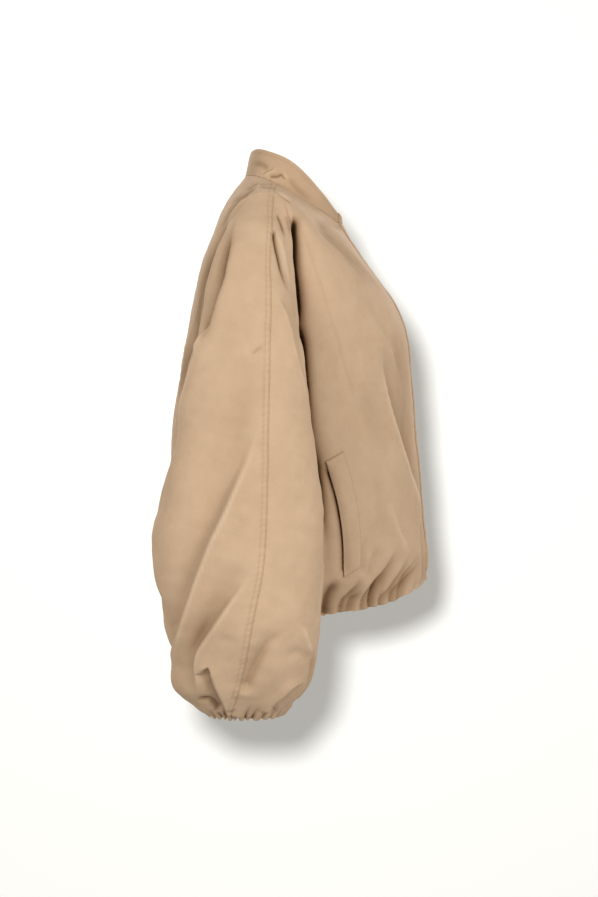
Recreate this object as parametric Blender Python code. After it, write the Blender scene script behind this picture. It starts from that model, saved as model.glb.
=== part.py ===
"""Cropped bomber jacket in peached cotton, hollow, as it hangs on a wearer.

Frame: metres, +Z up, front towards -Y, the wearer's left towards +X.
The origin is the middle of the neck, level with the top of the shoulders.

The body is one smooth form, read by `turn` (degrees from the centre front, + to the wearer's left)
and `down` (0 at the neck seam, 1 at the hem). Each sleeve is a form read by `turn` round the arm
(0 on the overarm seam, 90 in front, 180 on the underarm seam) and `down` (0 armhole, 1 cuff).
Folds and gathers move these forms along their normals, and each cut piece is a thin wall on them.
"""

import math

import bmesh
import bpy
import numpy as np

# ---------------------------------------------------------------- driving sizes
CLOTH_WALL = 0.0015
COLLAR_WALL = 0.0020
WELT_WALL = 0.0020
SEAM_GAP = 0.0003
LAP_CLEARANCE = 0.0011
COLLAR_SWELL = 0.0012
WELT_CLEARANCE = 0.0006

FRONT_LAP = 0.022
LAP_RAMP = 0.020

ARMHOLE_TOP = 0.17
ARMHOLE_BOTTOM = 0.56
ARMHOLE_FRONT = 17.0
ARMHOLE_BACK = 37.0

HEM_GATHERS = 48
HEM_GATHER_DEPTH = 0.0046
HEM_GATHER_START = 0.86
CUFF_GATHERS = 24
CUFF_GATHER_DEPTH = 0.0023
CUFF_GATHER_START = 0.88
CUFF_END_FLATTENING = 0.85

WELT_WIDTH = 0.0265
WELT_TOP = (-0.0600, -0.4065)
WELT_BOTTOM = (-0.0868, -0.5735)
WELT_BOW = 0.0085
WELT_LIFT = 0.0032
WELT_RAKE = 0.010
WELT_FIRST_GUESS = (65.0, 0.8)

# A fold shows where the form faces its view by this much, and the left side's folds differ a little.
FOLD_FACING = 0.35
SLEEVE_FOLD_START = 0.06
LEFT_FOLD_DROP = -0.016
LEFT_FOLD_SHARE = 0.85

CLOTH_COLOUR = (0.56, 0.41, 0.265, 1.0)
CLOTH_ROUGHNESS = 0.86

# Panel grids: cloth columns and rows between the seams.
FRONT_COLUMNS = 13
BACK_COLUMNS = 22
ARMHOLE_STEPS = 15
YOKE_ROWS = 4
SKIRT_ROWS = 5
SLEEVE_ROWS = 14
COLLAR_ROWS = 3
WELT_ROWS = 7
WELT_COLUMNS = 3
SMOOTH_ANGLE = 55.0

# Small steps along a form, in degrees of turn and in share of its length, to find its normals.
TURN_STEP = 0.4
DOWN_STEP = 0.002

# Gathered rows: their `down`, and the columns for each gather there.
HEM_GATHER_ROWS = {0.925: 2, 0.968: 4, 1.0: 4}
CUFF_GATHER_ROWS = {0.945: 2, 0.975: 4, 1.0: 4}


def table(columns, rows):
    """A short table as a dictionary of named columns."""
    names = columns.split()
    return {name: np.array(values) for name, values in zip(names, zip(*rows))}


# ---------------------------------------------------------------- section tables
# The body at stations from the neck seam to the hem: where its front, side and back lie.
BODY = table(
    "station down front_y front_z side_x side_y side_z back_y back_z square",
    [
        ("neck", 0.00, -0.0850, -0.0570, 0.078, 0.011, 0.0025, 0.0620, 0.0170, 2.00),
        ("yoke", 0.08, -0.1050, -0.0880, 0.120, 0.013, -0.0060, 0.0830, -0.0130, 2.00),
        ("shoulder", 0.16, -0.1290, -0.1220, 0.168, 0.015, -0.0180, 0.0990, -0.0470, 2.10),
        ("cap", 0.22, -0.1480, -0.1480, 0.205, 0.020, -0.0400, 0.1095, -0.0750, 2.20),
        ("upper armhole", 0.28, -0.1625, -0.1680, 0.224, 0.030, -0.0850, 0.1190, -0.1000, 2.30),
        ("chest", 0.40, -0.1840, -0.2150, 0.234, 0.035, -0.1650, 0.1360, -0.1650, 2.40),
        ("underarm", 0.55, -0.1945, -0.2950, 0.236, 0.030, -0.2800, 0.1580, -0.2750, 2.40),
        ("waist", 0.70, -0.2030, -0.4000, 0.230, 0.015, -0.4000, 0.1750, -0.4000, 2.30),
        ("blouse", 0.85, -0.2135, -0.5100, 0.214, -0.010, -0.5200, 0.1680, -0.5150, 2.20),
        ("low", 0.95, -0.2195, -0.5750, 0.200, -0.035, -0.6000, 0.1350, -0.5900, 2.10),
        ("hem", 1.00, -0.2160, -0.6100, 0.186, -0.045, -0.6350, 0.1120, -0.6240, 2.05),
    ],
)

# The top edge of the stand collar, on the same plan as a row of the body table.
COLLAR_TOP = table(
    "station down front_y front_z side_x side_y side_z back_y back_z square",
    [("collar top", 0.0, -0.0845, -0.0460, 0.068, -0.0090, 0.0400, 0.0511, 0.0570, 2.00)],
)

# The right sleeve at rings from the armhole to the cuff. Its first ring is the armhole itself.
SLEEVE = table(
    "ring down outer_x outer_z inner_x inner_z front_y back_y seam_turn",
    [
        ("cap", 0.08, -0.240, -0.068, -0.241, -0.3000, -0.0240, 0.1130, 14.0),
        ("biceps", 0.17, -0.294, -0.147, -0.245, -0.3350, -0.0270, 0.1220, 20.0),
        ("upper arm", 0.29, -0.332, -0.237, -0.250, -0.3800, -0.0357, 0.1400, 20.0),
        ("above elbow", 0.42, -0.363, -0.342, -0.253, -0.4300, -0.0447, 0.1590, 19.0),
        ("elbow", 0.55, -0.388, -0.442, -0.254, -0.4900, -0.0550, 0.1790, 16.5),
        ("forearm", 0.68, -0.403, -0.542, -0.252, -0.5550, -0.0594, 0.1850, 14.0),
        ("full", 0.79, -0.405, -0.622, -0.253, -0.6200, -0.0530, 0.1690, 8.0),
        ("turn in", 0.88, -0.393, -0.682, -0.262, -0.6750, -0.0450, 0.1550, 1.0),
        ("pouch", 0.94, -0.374, -0.727, -0.272, -0.7180, -0.0300, 0.1500, -3.0),
        ("tuck", 0.98, -0.353, -0.752, -0.279, -0.7460, -0.0120, 0.1260, -13.0),
        ("cuff", 1.00, -0.341, -0.7600, -0.283, -0.7565, -0.0020, 0.1090, -18.0),
    ],
)

# The largest folds. `view` is where each is seen from: the outer or inner side of a sleeve, or the
# side or back of the body. `start` and `end` are (sideways, Z) in that view: sideways is X seen from
# the back and Y otherwise. `bow` bends the line sideways, `plus` and `minus` are the widths towards
# + and - sideways of a line that runs down, `depth` is how far it sinks, and `fade` is the share of
# its length that it takes to start and to end.
FOLDS = table(
    "name view start_h start_z end_h end_z bow plus minus depth fade_in fade_out",
    [
        ("back armhole", "outer", 0.064, -0.066, 0.117, -0.240, 0.003, 0.014, 0.007, 0.018, 0.3, 0.25),
        ("front armhole", "outer", 0.014, -0.072, -0.014, -0.186, 0.002, 0.008, 0.006, 0.007, 0.3, 0.3),
        ("front roll", "outer", -0.006, -0.180, -0.038, -0.330, 0.002, 0.008, 0.014, 0.006, 0.3, 0.3),
        ("upper hollow", "outer", 0.040, -0.250, 0.094, -0.430, 0.000, 0.024, 0.022, 0.005, 0.4, 0.4),
        ("elbow step", "outer", 0.064, -0.415, 0.152, -0.655, 0.004, 0.036, 0.007, 0.009, 0.4, 0.2),
        ("forearm trough", "outer", 0.040, -0.530, 0.133, -0.672, -0.003, 0.016, 0.014, 0.015, 0.25, 0.2),
        ("cuff wedge", "outer", 0.102, -0.680, 0.079, -0.744, 0.001, 0.012, 0.007, 0.010, 0.3, 0.2),
        ("cuff trough", "outer", -0.010, -0.628, 0.048, -0.712, -0.003, 0.012, 0.016, 0.009, 0.4, 0.3),
        ("cuff roll", "outer", -0.030, -0.702, 0.022, -0.748, -0.004, 0.009, 0.009, 0.009, 0.3, 0.2),
        ("inner elbow", "inner", 0.030, -0.400, 0.125, -0.520, 0.004, 0.020, 0.014, 0.009, 0.35, 0.35),
        ("inner forearm", "inner", -0.010, -0.520, 0.085, -0.655, -0.004, 0.016, 0.014, 0.010, 0.3, 0.3),
        ("neck drape", "side", -0.036, -0.042, -0.134, -0.156, 0.003, 0.012, 0.012, 0.004, 0.3, 0.4),
        ("bust hollow", "side", -0.130, -0.290, -0.152, -0.420, 0.002, 0.016, 0.016, 0.005, 0.4, 0.5),
        ("front step", "side", -0.150, -0.250, -0.214, -0.530, 0.003, 0.007, 0.030, 0.005, 0.3, 0.3),
        ("right drape", "back", -0.175, -0.170, -0.085, -0.430, -0.012, 0.020, 0.014, 0.010, 0.3, 0.5),
        ("left drape", "back", 0.178, -0.185, 0.098, -0.410, 0.010, 0.014, 0.020, 0.009, 0.3, 0.5),
        ("middle hollow", "back", -0.020, -0.250, 0.012, -0.520, 0.006, 0.030, 0.026, 0.007, 0.5, 0.4),
    ],
)


# ---------------------------------------------------------------- smooth curves and forms
def smooth_step(value):
    """0 below 0, 1 above 1 and a smooth rise between."""
    share = np.clip(value, 0.0, 1.0)
    return share * share * (3.0 - 2.0 * share)


def smooth_through(knots, values, at):
    """Cubic curve through `values` at `knots`, read at each place of `at`.

    `values` is one number a knot, or one point for each knot and each place of `at`.
    """
    at = np.clip(at, knots[0], knots[-1])
    gaps = np.diff(knots)
    shape = (-1,) + (1,) * (values.ndim - 1)
    slopes = np.diff(values, axis=0) / gaps.reshape(shape)
    before, after = gaps[:-1].reshape(shape), gaps[1:].reshape(shape)
    middle = (slopes[:-1] * after + slopes[1:] * before) / (before + after)
    tangents = np.concatenate([slopes[:1], middle, slopes[-1:]])
    low = np.clip(np.searchsorted(knots, at, side="right") - 1, 0, len(knots) - 2)
    pick = (low,) if values.ndim == 1 else (low, np.arange(len(at)))
    above = (low + 1,) + pick[1:]
    width = gaps[low]
    t = (at - knots[low]) / width
    if values.ndim > 1:
        t, width = t[:, None], width[:, None]
    start = (1 + 2 * t) * (1 - t) ** 2 * values[pick] + t * (1 - t) ** 2 * width * tangents[pick]
    end = t * t * (3 - 2 * t) * values[above] + t * t * (t - 1) * width * tangents[above]
    return start + end


def section_column(sections, column, down):
    """One named column of a section table, smooth between its rows."""
    if len(sections["down"]) == 1:
        return np.full(len(down), sections[column][0])
    return smooth_through(sections["down"], sections[column], down)


def oval_form(sections, turn, down):
    """Point of a squared oval whose front, side and back come from a section table."""
    cosine, sine = np.cos(np.radians(turn)), np.sin(np.radians(turn))
    square = section_column(sections, "square", down)
    reach = (np.abs(cosine) ** square + np.abs(sine) ** square) ** (-1.0 / square)
    ahead, across = reach * cosine, reach * sine
    point = [section_column(sections, "side_x", down) * across]
    for axis in ("y", "z"):
        front = section_column(sections, "front_" + axis, down)
        side = section_column(sections, "side_" + axis, down)
        back = section_column(sections, "back_" + axis, down)
        middle, swing = (front + back) / 2, (front - back) / 2
        point.append(side * (1 - ahead**2) + middle * ahead**2 + swing * ahead)
    return np.stack(point, axis=1)


def unit(vectors):
    """Vectors scaled to length 1."""
    return vectors / np.maximum(np.linalg.norm(vectors, axis=1, keepdims=True), 1e-12)


def form_normals(form, turn, down, hand=1.0):
    """Outward normals of a form, from small steps along both of its directions."""
    round_way = form(turn + TURN_STEP, down) - form(turn - TURN_STEP, down)
    down_way = form(turn, down + DOWN_STEP) - form(turn, down - DOWN_STEP)
    return unit(np.cross(down_way, round_way)) * hand


def fold_sink(views, sides, points, normals):
    """How far the folds seen in some views sink a form; `sides` holds -1 for right, +1 for left."""
    sink = np.zeros(len(points))
    for row in range(len(FOLDS["name"])):
        fold = {column: values[row] for column, values in FOLDS.items()}
        if fold["view"] not in views:
            continue
        if fold["view"] == "back":
            facing = smooth_step(normals[:, 1] / FOLD_FACING)
            sink += fold_profile(fold, points[:, 0], points[:, 2], 0.0) * facing
            continue
        outward = -1.0 if fold["view"] == "inner" else 1.0
        for seen in sides:
            facing = smooth_step(normals[:, 0] * seen * outward / FOLD_FACING)
            share, drop = (1.0, 0.0) if seen < 0 else (LEFT_FOLD_SHARE, LEFT_FOLD_DROP)
            sink += fold_profile(fold, points[:, 1], points[:, 2], drop) * facing * share
    return sink


def fold_profile(fold, sideways, height, drop):
    """Depth of one fold at places of its view, moved down by `drop`."""
    run_h = fold["end_h"] - fold["start_h"]
    run_z = fold["end_z"] - fold["start_z"]
    length = math.hypot(run_h, run_z)
    from_h, from_z = sideways - fold["start_h"], height - fold["start_z"] - drop
    along = (from_h * run_h + from_z * run_z) / length**2
    aside = (from_z * run_h - from_h * run_z) / length - 4 * fold["bow"] * along * (1 - along)
    width = np.where(aside > 0, fold["plus"], fold["minus"])
    ends = smooth_step(along / fold["fade_in"]) * smooth_step((1 - along) / fold["fade_out"])
    return fold["depth"] * np.exp(-((aside / width) ** 2)) * ends


def gather_phase(turn, gathers):
    """Number of gathers passed at each turn, unevenly spaced but whole all round."""
    radians = np.radians(turn)
    return gathers * turn / 360 + 0.22 * np.sin(3 * radians) + 0.13 * np.sin(7 * radians + 0.7)


def gather_rise(turn, down, gathers, depth, start):
    """Height of the gathers over the form: waves that grow towards the elastic edge."""
    grown = np.clip((down - start) / (1 - start), 0, 1) ** 1.4
    uneven = 0.82 + 0.18 * np.sin(5 * np.radians(turn) + 1.1)
    return depth * grown * uneven * np.cos(2 * math.pi * gather_phase(turn, gathers))


def gather_turns(low, high, gathers, per_gather):
    """Turns of the crests, troughs and steps between them, from `low` to `high`."""
    dense = np.linspace(low, high, 4000)
    steps = gather_phase(dense, gathers) * per_gather
    whole = np.arange(math.ceil(steps[0] + 0.3), math.floor(steps[-1] - 0.3) + 1)
    return np.concatenate([[low], np.interp(whole, steps, dense), [high]])


# ---------------------------------------------------------------- body
def lap_turn(width, down):
    """Turn of a front edge that lies `width` past the centre front."""
    return np.degrees(np.arcsin(width / section_column(BODY, "side_x", down)))


def lap_rise(turn, down, layer):
    """How far the upper layer of a lap lies over the lower one; `layer` is 1 for the upper."""
    edge = lap_turn(FRONT_LAP, down)
    ramp = lap_turn(FRONT_LAP + LAP_RAMP, down)
    height = COLLAR_WALL + LAP_CLEARANCE
    return layer * height * (1 - smooth_step((turn - edge * 1.15) / (ramp - edge)))


def body_form(turn, down):
    """Plain body form."""
    return oval_form(BODY, turn, down)


def body_surface(turn, down, layer=0.0):
    """Outer face of the body with its laps, folds and hem gathers."""
    points = body_form(turn, down)
    normals = form_normals(body_form, turn, down)
    away = -fold_sink(("side", "back"), (-1, 1), points, normals)
    away += gather_rise(turn, down, HEM_GATHERS, HEM_GATHER_DEPTH, HEM_GATHER_START)
    away += lap_rise(turn, down, layer)
    return points + normals * away[:, None]


def body_normals(turn, down):
    """Outward normals of the finished body."""
    return form_normals(body_surface, turn, down)


def armhole_place(around):
    """Turn from the centre front and `down` of a place round the armhole, 0 at the shoulder."""
    middle = (ARMHOLE_TOP + ARMHOLE_BOTTOM) / 2
    half = (ARMHOLE_BOTTOM - ARMHOLE_TOP) / 2
    sine = np.sin(np.radians(around))
    opening = np.where(sine > 0, ARMHOLE_FRONT, ARMHOLE_BACK)
    return 90.0 - opening * sine, middle - half * np.cos(np.radians(around))


def armhole_points(side, around):
    """The armhole line on the body; `side` is -1 right, +1 left."""
    turn, down = armhole_place(around)
    return body_surface(turn * side, down)


# ---------------------------------------------------------------- sleeves
def sleeve_ring(row, around, side):
    """Points of one ring of the table, `around` from the overarm seam."""
    angle = np.radians(around + SLEEVE["seam_turn"][row] * (1 + np.cos(np.radians(around))) / 2)
    centre_x = (SLEEVE["outer_x"][row] + SLEEVE["inner_x"][row]) / 2
    centre_z = (SLEEVE["outer_z"][row] + SLEEVE["inner_z"][row]) / 2
    centre_y = (SLEEVE["front_y"][row] + SLEEVE["back_y"][row]) / 2
    half_x = SLEEVE["outer_x"][row] - centre_x
    half_z = SLEEVE["outer_z"][row] - centre_z
    half_y = SLEEVE["front_y"][row] - centre_y
    x = centre_x + half_x * np.cos(angle)
    y = centre_y + half_y * np.sin(angle)
    z = centre_z + half_z * np.cos(angle)
    return np.stack([-side * x, y, z], axis=1)


def sleeve_form(side):
    """The plain form of one sleeve, as a function of turn and down."""

    def form(around, down):
        rings = [armhole_points(side, around)]
        rings += [sleeve_ring(row, around, side) for row in range(len(SLEEVE["ring"]))]
        knots = np.concatenate([[0.0], SLEEVE["down"]])
        return smooth_through(knots, np.stack(rings), down)

    return form


def sleeve_surface(side):
    """Outer face of one sleeve with its folds and cuff gathers."""
    form = sleeve_form(side)

    def surface(around, down):
        points = form(around, down)
        normals = form_normals(form, around, down, -side)
        away = -fold_sink(("outer", "inner"), (side,), points, normals)
        away *= smooth_step(down / SLEEVE_FOLD_START)
        flatter = 1 - CUFF_END_FLATTENING * np.sin(np.radians(around)) ** 4
        away += gather_rise(around * side, down, CUFF_GATHERS, CUFF_GATHER_DEPTH * flatter, CUFF_GATHER_START)
        return points + normals * away[:, None]

    return surface


# ---------------------------------------------------------------- seams between different forms
def seam_vectors(line, body_normal, sleeve_normal, away_from_hole, down_sleeve, wall):
    """Side step and wall directions where two walls meet along a line at an angle.

    Returns the unit step towards the body and the vectors from the outer to the inner face of
    the body wall and of the sleeve wall. Where the walls turn over an edge both take the mitre;
    where they fold back on each other, each keeps its own square end.
    """
    along = unit(np.gradient(line, axis=0))
    body_way = unit(np.cross(body_normal, along))
    body_way *= np.sign(np.sum(body_way * away_from_hole, axis=1, keepdims=True))
    sleeve_way = unit(np.cross(sleeve_normal, along))
    sleeve_way *= np.sign(np.sum(sleeve_way * down_sleeve, axis=1, keepdims=True))
    towards_body = unit(body_way - sleeve_way)
    agree = np.sum(body_normal * sleeve_normal, axis=1, keepdims=True)
    mitre = (body_normal + sleeve_normal) / np.maximum(1 + agree, 0.25)
    hollow = np.sum(body_way * sleeve_normal, axis=1, keepdims=True) > 0
    share = np.where(hollow, smooth_step((agree + 0.1) / 0.5), 1.0)
    body_in = -wall * (body_normal * (1 - share) + mitre * share)
    sleeve_in = -wall * (sleeve_normal * (1 - share) + mitre * share)
    return towards_body, body_in, sleeve_in


def armhole_seam(side, around):
    """Line, side step and wall vectors at places round the armhole, in rising order."""
    line = armhole_points(side, around)
    turn, down = armhole_place(around)
    surface = sleeve_surface(side)
    inside = np.full(len(around), 2 * DOWN_STEP)
    sleeve_normal = form_normals(surface, around, inside, -side)
    centre = armhole_points(side, np.array([90.0, 270.0])).mean(axis=0)
    down_sleeve = surface(around, inside) - line
    return (line,) + seam_vectors(
        line, body_normals(turn * side, down), sleeve_normal, line - centre, down_sleeve, CLOTH_WALL
    )


# ---------------------------------------------------------------- walls
def strip(first, second, keys_first, keys_second):
    """Triangles between two rows of vertex numbers, stepping along the nearer key each time."""
    faces, i, j = [], 0, 0
    while i < len(first) - 1 or j < len(second) - 1:
        step_first = j == len(second) - 1
        if not step_first and i < len(first) - 1:
            step_first = keys_first[i + 1] <= keys_second[j + 1]
        if step_first:
            faces.append((first[i], first[i + 1], second[j]))
            i += 1
        else:
            faces.append((first[i], second[j + 1], second[j]))
            j += 1
    return faces


def wall_faces(counts, keys):
    """Faces of a closed wall whose outer and inner faces are the same rows of vertices."""
    starts = np.concatenate([[0], np.cumsum(counts)])
    total = int(starts[-1])
    rows = [list(range(int(a), int(b))) for a, b in zip(starts[:-1], starts[1:])]
    faces = []
    for upper, lower, key_upper, key_lower in zip(rows[:-1], rows[1:], keys[:-1], keys[1:]):
        for face in strip(upper, lower, key_upper, key_lower):
            faces.append(face)
            faces.append(tuple(corner + total for corner in reversed(face)))
    left, right = [row[0] for row in rows], [row[-1] for row in rows]
    for edge, turned in ((rows[0], True), (rows[-1], False), (left, False), (right, True)):
        for a, b in zip(edge[:-1], edge[1:]):
            quad = (a, b, b + total, a + total)
            faces.append(tuple(reversed(quad)) if turned else quad)
    return faces


def make_material(name):
    """Plain cloth finish of one piece."""
    material = bpy.data.materials.new(name + "_cloth")
    material.use_nodes = True
    shader = material.node_tree.nodes["Principled BSDF"]
    shader.inputs["Base Color"].default_value = CLOTH_COLOUR
    shader.inputs["Roughness"].default_value = CLOTH_ROUGHNESS
    shader.inputs["Metallic"].default_value = 0.0
    return material


def make_wall(name, outer_rows, inner_rows, keys):
    """One cut piece as a closed wall between its outer and inner rows of points."""
    counts = [len(row) for row in outer_rows]
    points = np.concatenate(list(outer_rows) + list(inner_rows))
    mesh = bpy.data.meshes.new(name)
    mesh.from_pydata(points.tolist(), [], wall_faces(counts, keys))
    shape = bmesh.new()
    shape.from_mesh(mesh)
    bmesh.ops.triangulate(shape, faces=shape.faces)
    bmesh.ops.recalc_face_normals(shape, faces=shape.faces)
    shape.to_mesh(mesh)
    shape.free()
    mesh.shade_smooth()
    mesh.set_sharp_from_angle(angle=math.radians(SMOOTH_ANGLE))
    mesh.materials.append(make_material(name))
    piece = bpy.data.objects.new(name, mesh)
    bpy.context.scene.collection.objects.link(piece)
    return piece


# ---------------------------------------------------------------- cut pieces of the body
def body_rows():
    """`down` of the plain rows of a body panel; the armhole rows lie between its two ends."""
    around = np.linspace(0, 180, ARMHOLE_STEPS + 1)
    armhole = armhole_place(around)[1]
    yoke = np.linspace(0, ARMHOLE_TOP, YOKE_ROWS + 1)[:-1]
    skirt = np.linspace(ARMHOLE_BOTTOM, HEM_GATHER_START, SKIRT_ROWS + 1)[1:]
    return yoke, around, armhole, skirt


def side_seam_pull(turn, down, inward):
    """Half the seam gap, along the cloth and away from the shoulder or side seam."""
    place = np.array([turn]), np.array([down])
    beside = np.array([turn + inward * 0.3]), np.array([down])
    return unit(body_surface(*beside) - body_surface(*place))[0] * SEAM_GAP / 2


def front_turns(edge, hole_turn, side):
    """Turns of a front's columns: those near the side give way to the armhole."""
    share = np.linspace(0, 1, FRONT_COLUMNS + 1)
    turns = edge * side + (90.0 - edge * side) * share - (90.0 - hole_turn) * share**3
    return np.sort(turns * side)


def right_front_turns(edge, hole_turn):
    """Columns of the right front."""
    return front_turns(edge, hole_turn, -1)


def left_front_turns(edge, hole_turn):
    """Columns of the left front."""
    return front_turns(edge, hole_turn, 1)


def right_edge_turn(down):
    """Free edge of the right front, just past the centre front and under the left one."""
    return lap_turn(FRONT_LAP, down)


def left_edge_turn(down):
    """Free edge of the left front, just past the centre front."""
    return -lap_turn(FRONT_LAP, down)


def back_turns(_, hole_turn):
    """Turns of the back's columns, from the left side seam or armhole to the right one."""
    share = np.linspace(-1, 1, BACK_COLUMNS + 1)
    return 180.0 + 90.0 * share - (hole_turn - 90.0) * share * np.abs(share)


def body_panel(name, side, edge_turn, layer, plain_turns):
    """A front (from its lapped edge to the side) or the back (from side to side).

    `side` is the side of its armhole, or 0 for the back, which has two. `edge_turn` gives the
    turn of a front's free edge, `layer` is 1 for the front that laps over, and `plain_turns`
    gives the columns of an ungathered row.
    """
    is_back = side == 0
    yoke, around, armhole, skirt = body_rows()
    downs = np.concatenate([yoke, armhole, skirt, list(HEM_GATHER_ROWS)])
    hole = range(len(yoke), len(yoke) + len(armhole))
    hole_around = 360 - around if is_back else around
    hole_turn = np.full(len(downs), 90.0)
    hole_turn[hole.start : hole.stop] = armhole_place(hole_around)[0]
    ends = {0: (1, 1.0), -1: (-1, -1.0)} if is_back else {(0 if side < 0 else -1): (side, -side)}
    seams = {hand: armhole_seam(hand, hole_around) for hand, _ in ends.values()}
    outer_rows, inner_rows, keys = [], [], []
    for index, down in enumerate(downs):
        edge = 360 - hole_turn[index] if is_back else edge_turn(np.array([down]))[0]
        low, high = sorted((edge, hole_turn[index] * (side or 1)))
        if down in HEM_GATHER_ROWS:
            turns = gather_turns(low, high, HEM_GATHERS, HEM_GATHER_ROWS[down])
        else:
            turns = plain_turns(edge, hole_turn[index])
        here = np.full(len(turns), down)
        outer = body_surface(turns, here, layer)
        inner = outer - body_normals(turns, here) * CLOTH_WALL
        for end, (hand, inward) in ends.items():
            if index in hole:
                line, towards_body, body_in, _ = (part[index - hole.start] for part in seams[hand])
                outer[end] = line + towards_body * SEAM_GAP / 2
                inner[end] = outer[end] + body_in
            if index not in hole[1:-1]:
                pull = side_seam_pull(turns[end], down, inward)
                outer[end] += pull
                inner[end] += pull
        outer_rows.append(outer)
        inner_rows.append(inner)
        keys.append((turns - low) / (high - low))
    off_neck = unit(outer_rows[1][:1] - outer_rows[0][:1]) * SEAM_GAP / 2
    outer_rows[0] += off_neck
    inner_rows[0] += off_neck
    return make_wall(name, outer_rows, inner_rows, keys)


# ---------------------------------------------------------------- cut pieces of the sleeves
def sleeve_panel(name, side, is_front):
    """The front or back half of a sleeve, between the overarm and underarm seams."""
    surface = sleeve_surface(side)
    low, high = (0.0, 180.0) if is_front else (180.0, 360.0)
    around = np.linspace(low, high, ARMHOLE_STEPS + 1)
    line, towards_body, _, sleeve_in = armhole_seam(side, around)
    plain = np.linspace(0, 1, SLEEVE_ROWS + 1) ** 1.15 * CUFF_GATHER_START
    outer_rows, inner_rows, keys = [], [], []
    for down in np.concatenate([plain, list(CUFF_GATHER_ROWS)]):
        turns = around
        if down in CUFF_GATHER_ROWS:
            turns = gather_turns(low, high, CUFF_GATHERS, CUFF_GATHER_ROWS[down])
        here = np.full(len(turns), down)
        if down == 0:
            outer = line - towards_body * SEAM_GAP / 2
            inner = outer + sleeve_in
        else:
            outer = surface(turns, here)
            inner = outer - form_normals(surface, turns, here, -side) * CLOTH_WALL
        for end, inward in ((0, 0.5), (-1, -0.5)):
            edge, place = turns[[end]], np.array([max(down, 0.01)])
            pull = unit(surface(edge + inward, place) - surface(edge, place))[0] * SEAM_GAP / 2
            outer[end] += pull
            inner[end] += pull
        outer_rows.append(outer)
        inner_rows.append(inner)
        keys.append((turns - low) / (high - low))
    return make_wall(name, outer_rows, inner_rows, keys)


# ---------------------------------------------------------------- collar and welts
def collar_surface(turn, up):
    """Outer face of the stand collar: its left end, below turn 180, laps over its right end."""
    neck = np.zeros(len(turn))
    left = turn < 180
    bottom = np.where(left[:, None], body_surface(turn, neck, 1.0), body_surface(turn - 360, neck, 0.0))
    outward = np.stack([np.sin(np.radians(turn)), -np.cos(np.radians(turn)), neck], axis=1)
    over = np.where(left, lap_rise(turn, neck, 1.0), 0.0) + COLLAR_SWELL * np.sin(math.pi * up)
    top = oval_form(COLLAR_TOP, turn, neck) + outward * over[:, None]
    return bottom * (1 - up[:, None]) + top * up[:, None]


def collar_turns():
    """Turns round the collar, at the same places as the body's columns on the neck seam."""
    edge = lap_turn(FRONT_LAP, np.array([0.0]))[0]
    left = np.linspace(-edge, 90, FRONT_COLUMNS + 1)
    back = np.linspace(90, 270, BACK_COLUMNS + 1)
    right = np.linspace(270, 360 + edge, FRONT_COLUMNS + 1)
    return np.concatenate([left, back[1:], right[1:]])


def collar_piece():
    """The stand collar, one band from its left front end round the back to its right end."""
    turns = collar_turns()
    all_up, all_down = np.ones(len(turns)), np.zeros(len(turns))
    upward = unit(collar_surface(turns, all_up) - collar_surface(turns, all_down))
    outer_rows, inner_rows, keys = [], [], []
    for up in np.linspace(1, 0, COLLAR_ROWS + 1):
        here = np.full(len(turns), up)
        outer = collar_surface(turns, here)
        round_way = np.gradient(outer, axis=0)
        normals = unit(np.cross(round_way, upward))
        if up == 0:
            outer = outer + upward * SEAM_GAP / 2
        outer_rows.append(outer)
        inner_rows.append(outer - normals * COLLAR_WALL)
        keys.append(turns)
    return make_wall("collar", outer_rows, inner_rows, keys)


def find_on_body(side, y, z, first_guess):
    """Turn and down of the body point that has this Y and Z, from a first guess."""
    wanted = np.array([y, z])
    place = np.array(first_guess)
    for _ in range(12):
        tries = place + np.array([[0, 0], [TURN_STEP, 0], [0, DOWN_STEP]])
        seen = body_form(tries[:, 0] * side, tries[:, 1])[:, 1:]
        change = np.stack([(seen[1] - seen[0]) / TURN_STEP, (seen[2] - seen[0]) / DOWN_STEP], axis=1)
        place = place + np.linalg.solve(change, wanted - seen[0])
    return place


def welt_piece(name, side):
    """A long welt on a front: stitched along its front edge, a little open along its back edge."""
    outer_rows, inner_rows, keys = [], [], []
    top, bottom = np.array(WELT_TOP), np.array(WELT_BOTTOM)
    run = unit((bottom - top)[None])[0]
    forward = np.array([run[1], -run[0]])
    forward *= -np.sign(forward[0])
    for share in np.linspace(0, 1, WELT_ROWS + 1):
        turns, downs = [], []
        for across in np.linspace(0, 1, WELT_COLUMNS + 1):
            centre = top + (bottom - top) * share + forward * WELT_BOW * 4 * share * (1 - share)
            y, z = centre + forward * WELT_WIDTH * across + run * WELT_RAKE * -across
            turn, down = find_on_body(side, y, z, WELT_FIRST_GUESS)
            turns.append(turn * side)
            downs.append(down)
        turns, downs = np.array(turns), np.array(downs)
        normals = body_normals(turns, downs)
        across = np.linspace(0, 1, WELT_COLUMNS + 1)[:, None]
        lift = WELT_CLEARANCE + WELT_LIFT * (1 - across) ** 1.5 * math.sin(math.pi * (0.12 + 0.76 * share))
        inner = body_surface(turns, downs) + normals * lift
        inner_rows.append(inner)
        outer_rows.append(inner + normals * WELT_WALL)
        keys.append(np.arange(WELT_COLUMNS + 1.0))
    return make_wall(name, outer_rows, inner_rows, keys)


# ---------------------------------------------------------------- the whole jacket
def clear_scene():
    """Remove whatever the scene starts with."""
    for existing in list(bpy.data.objects):
        bpy.data.objects.remove(existing, do_unlink=True)


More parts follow.
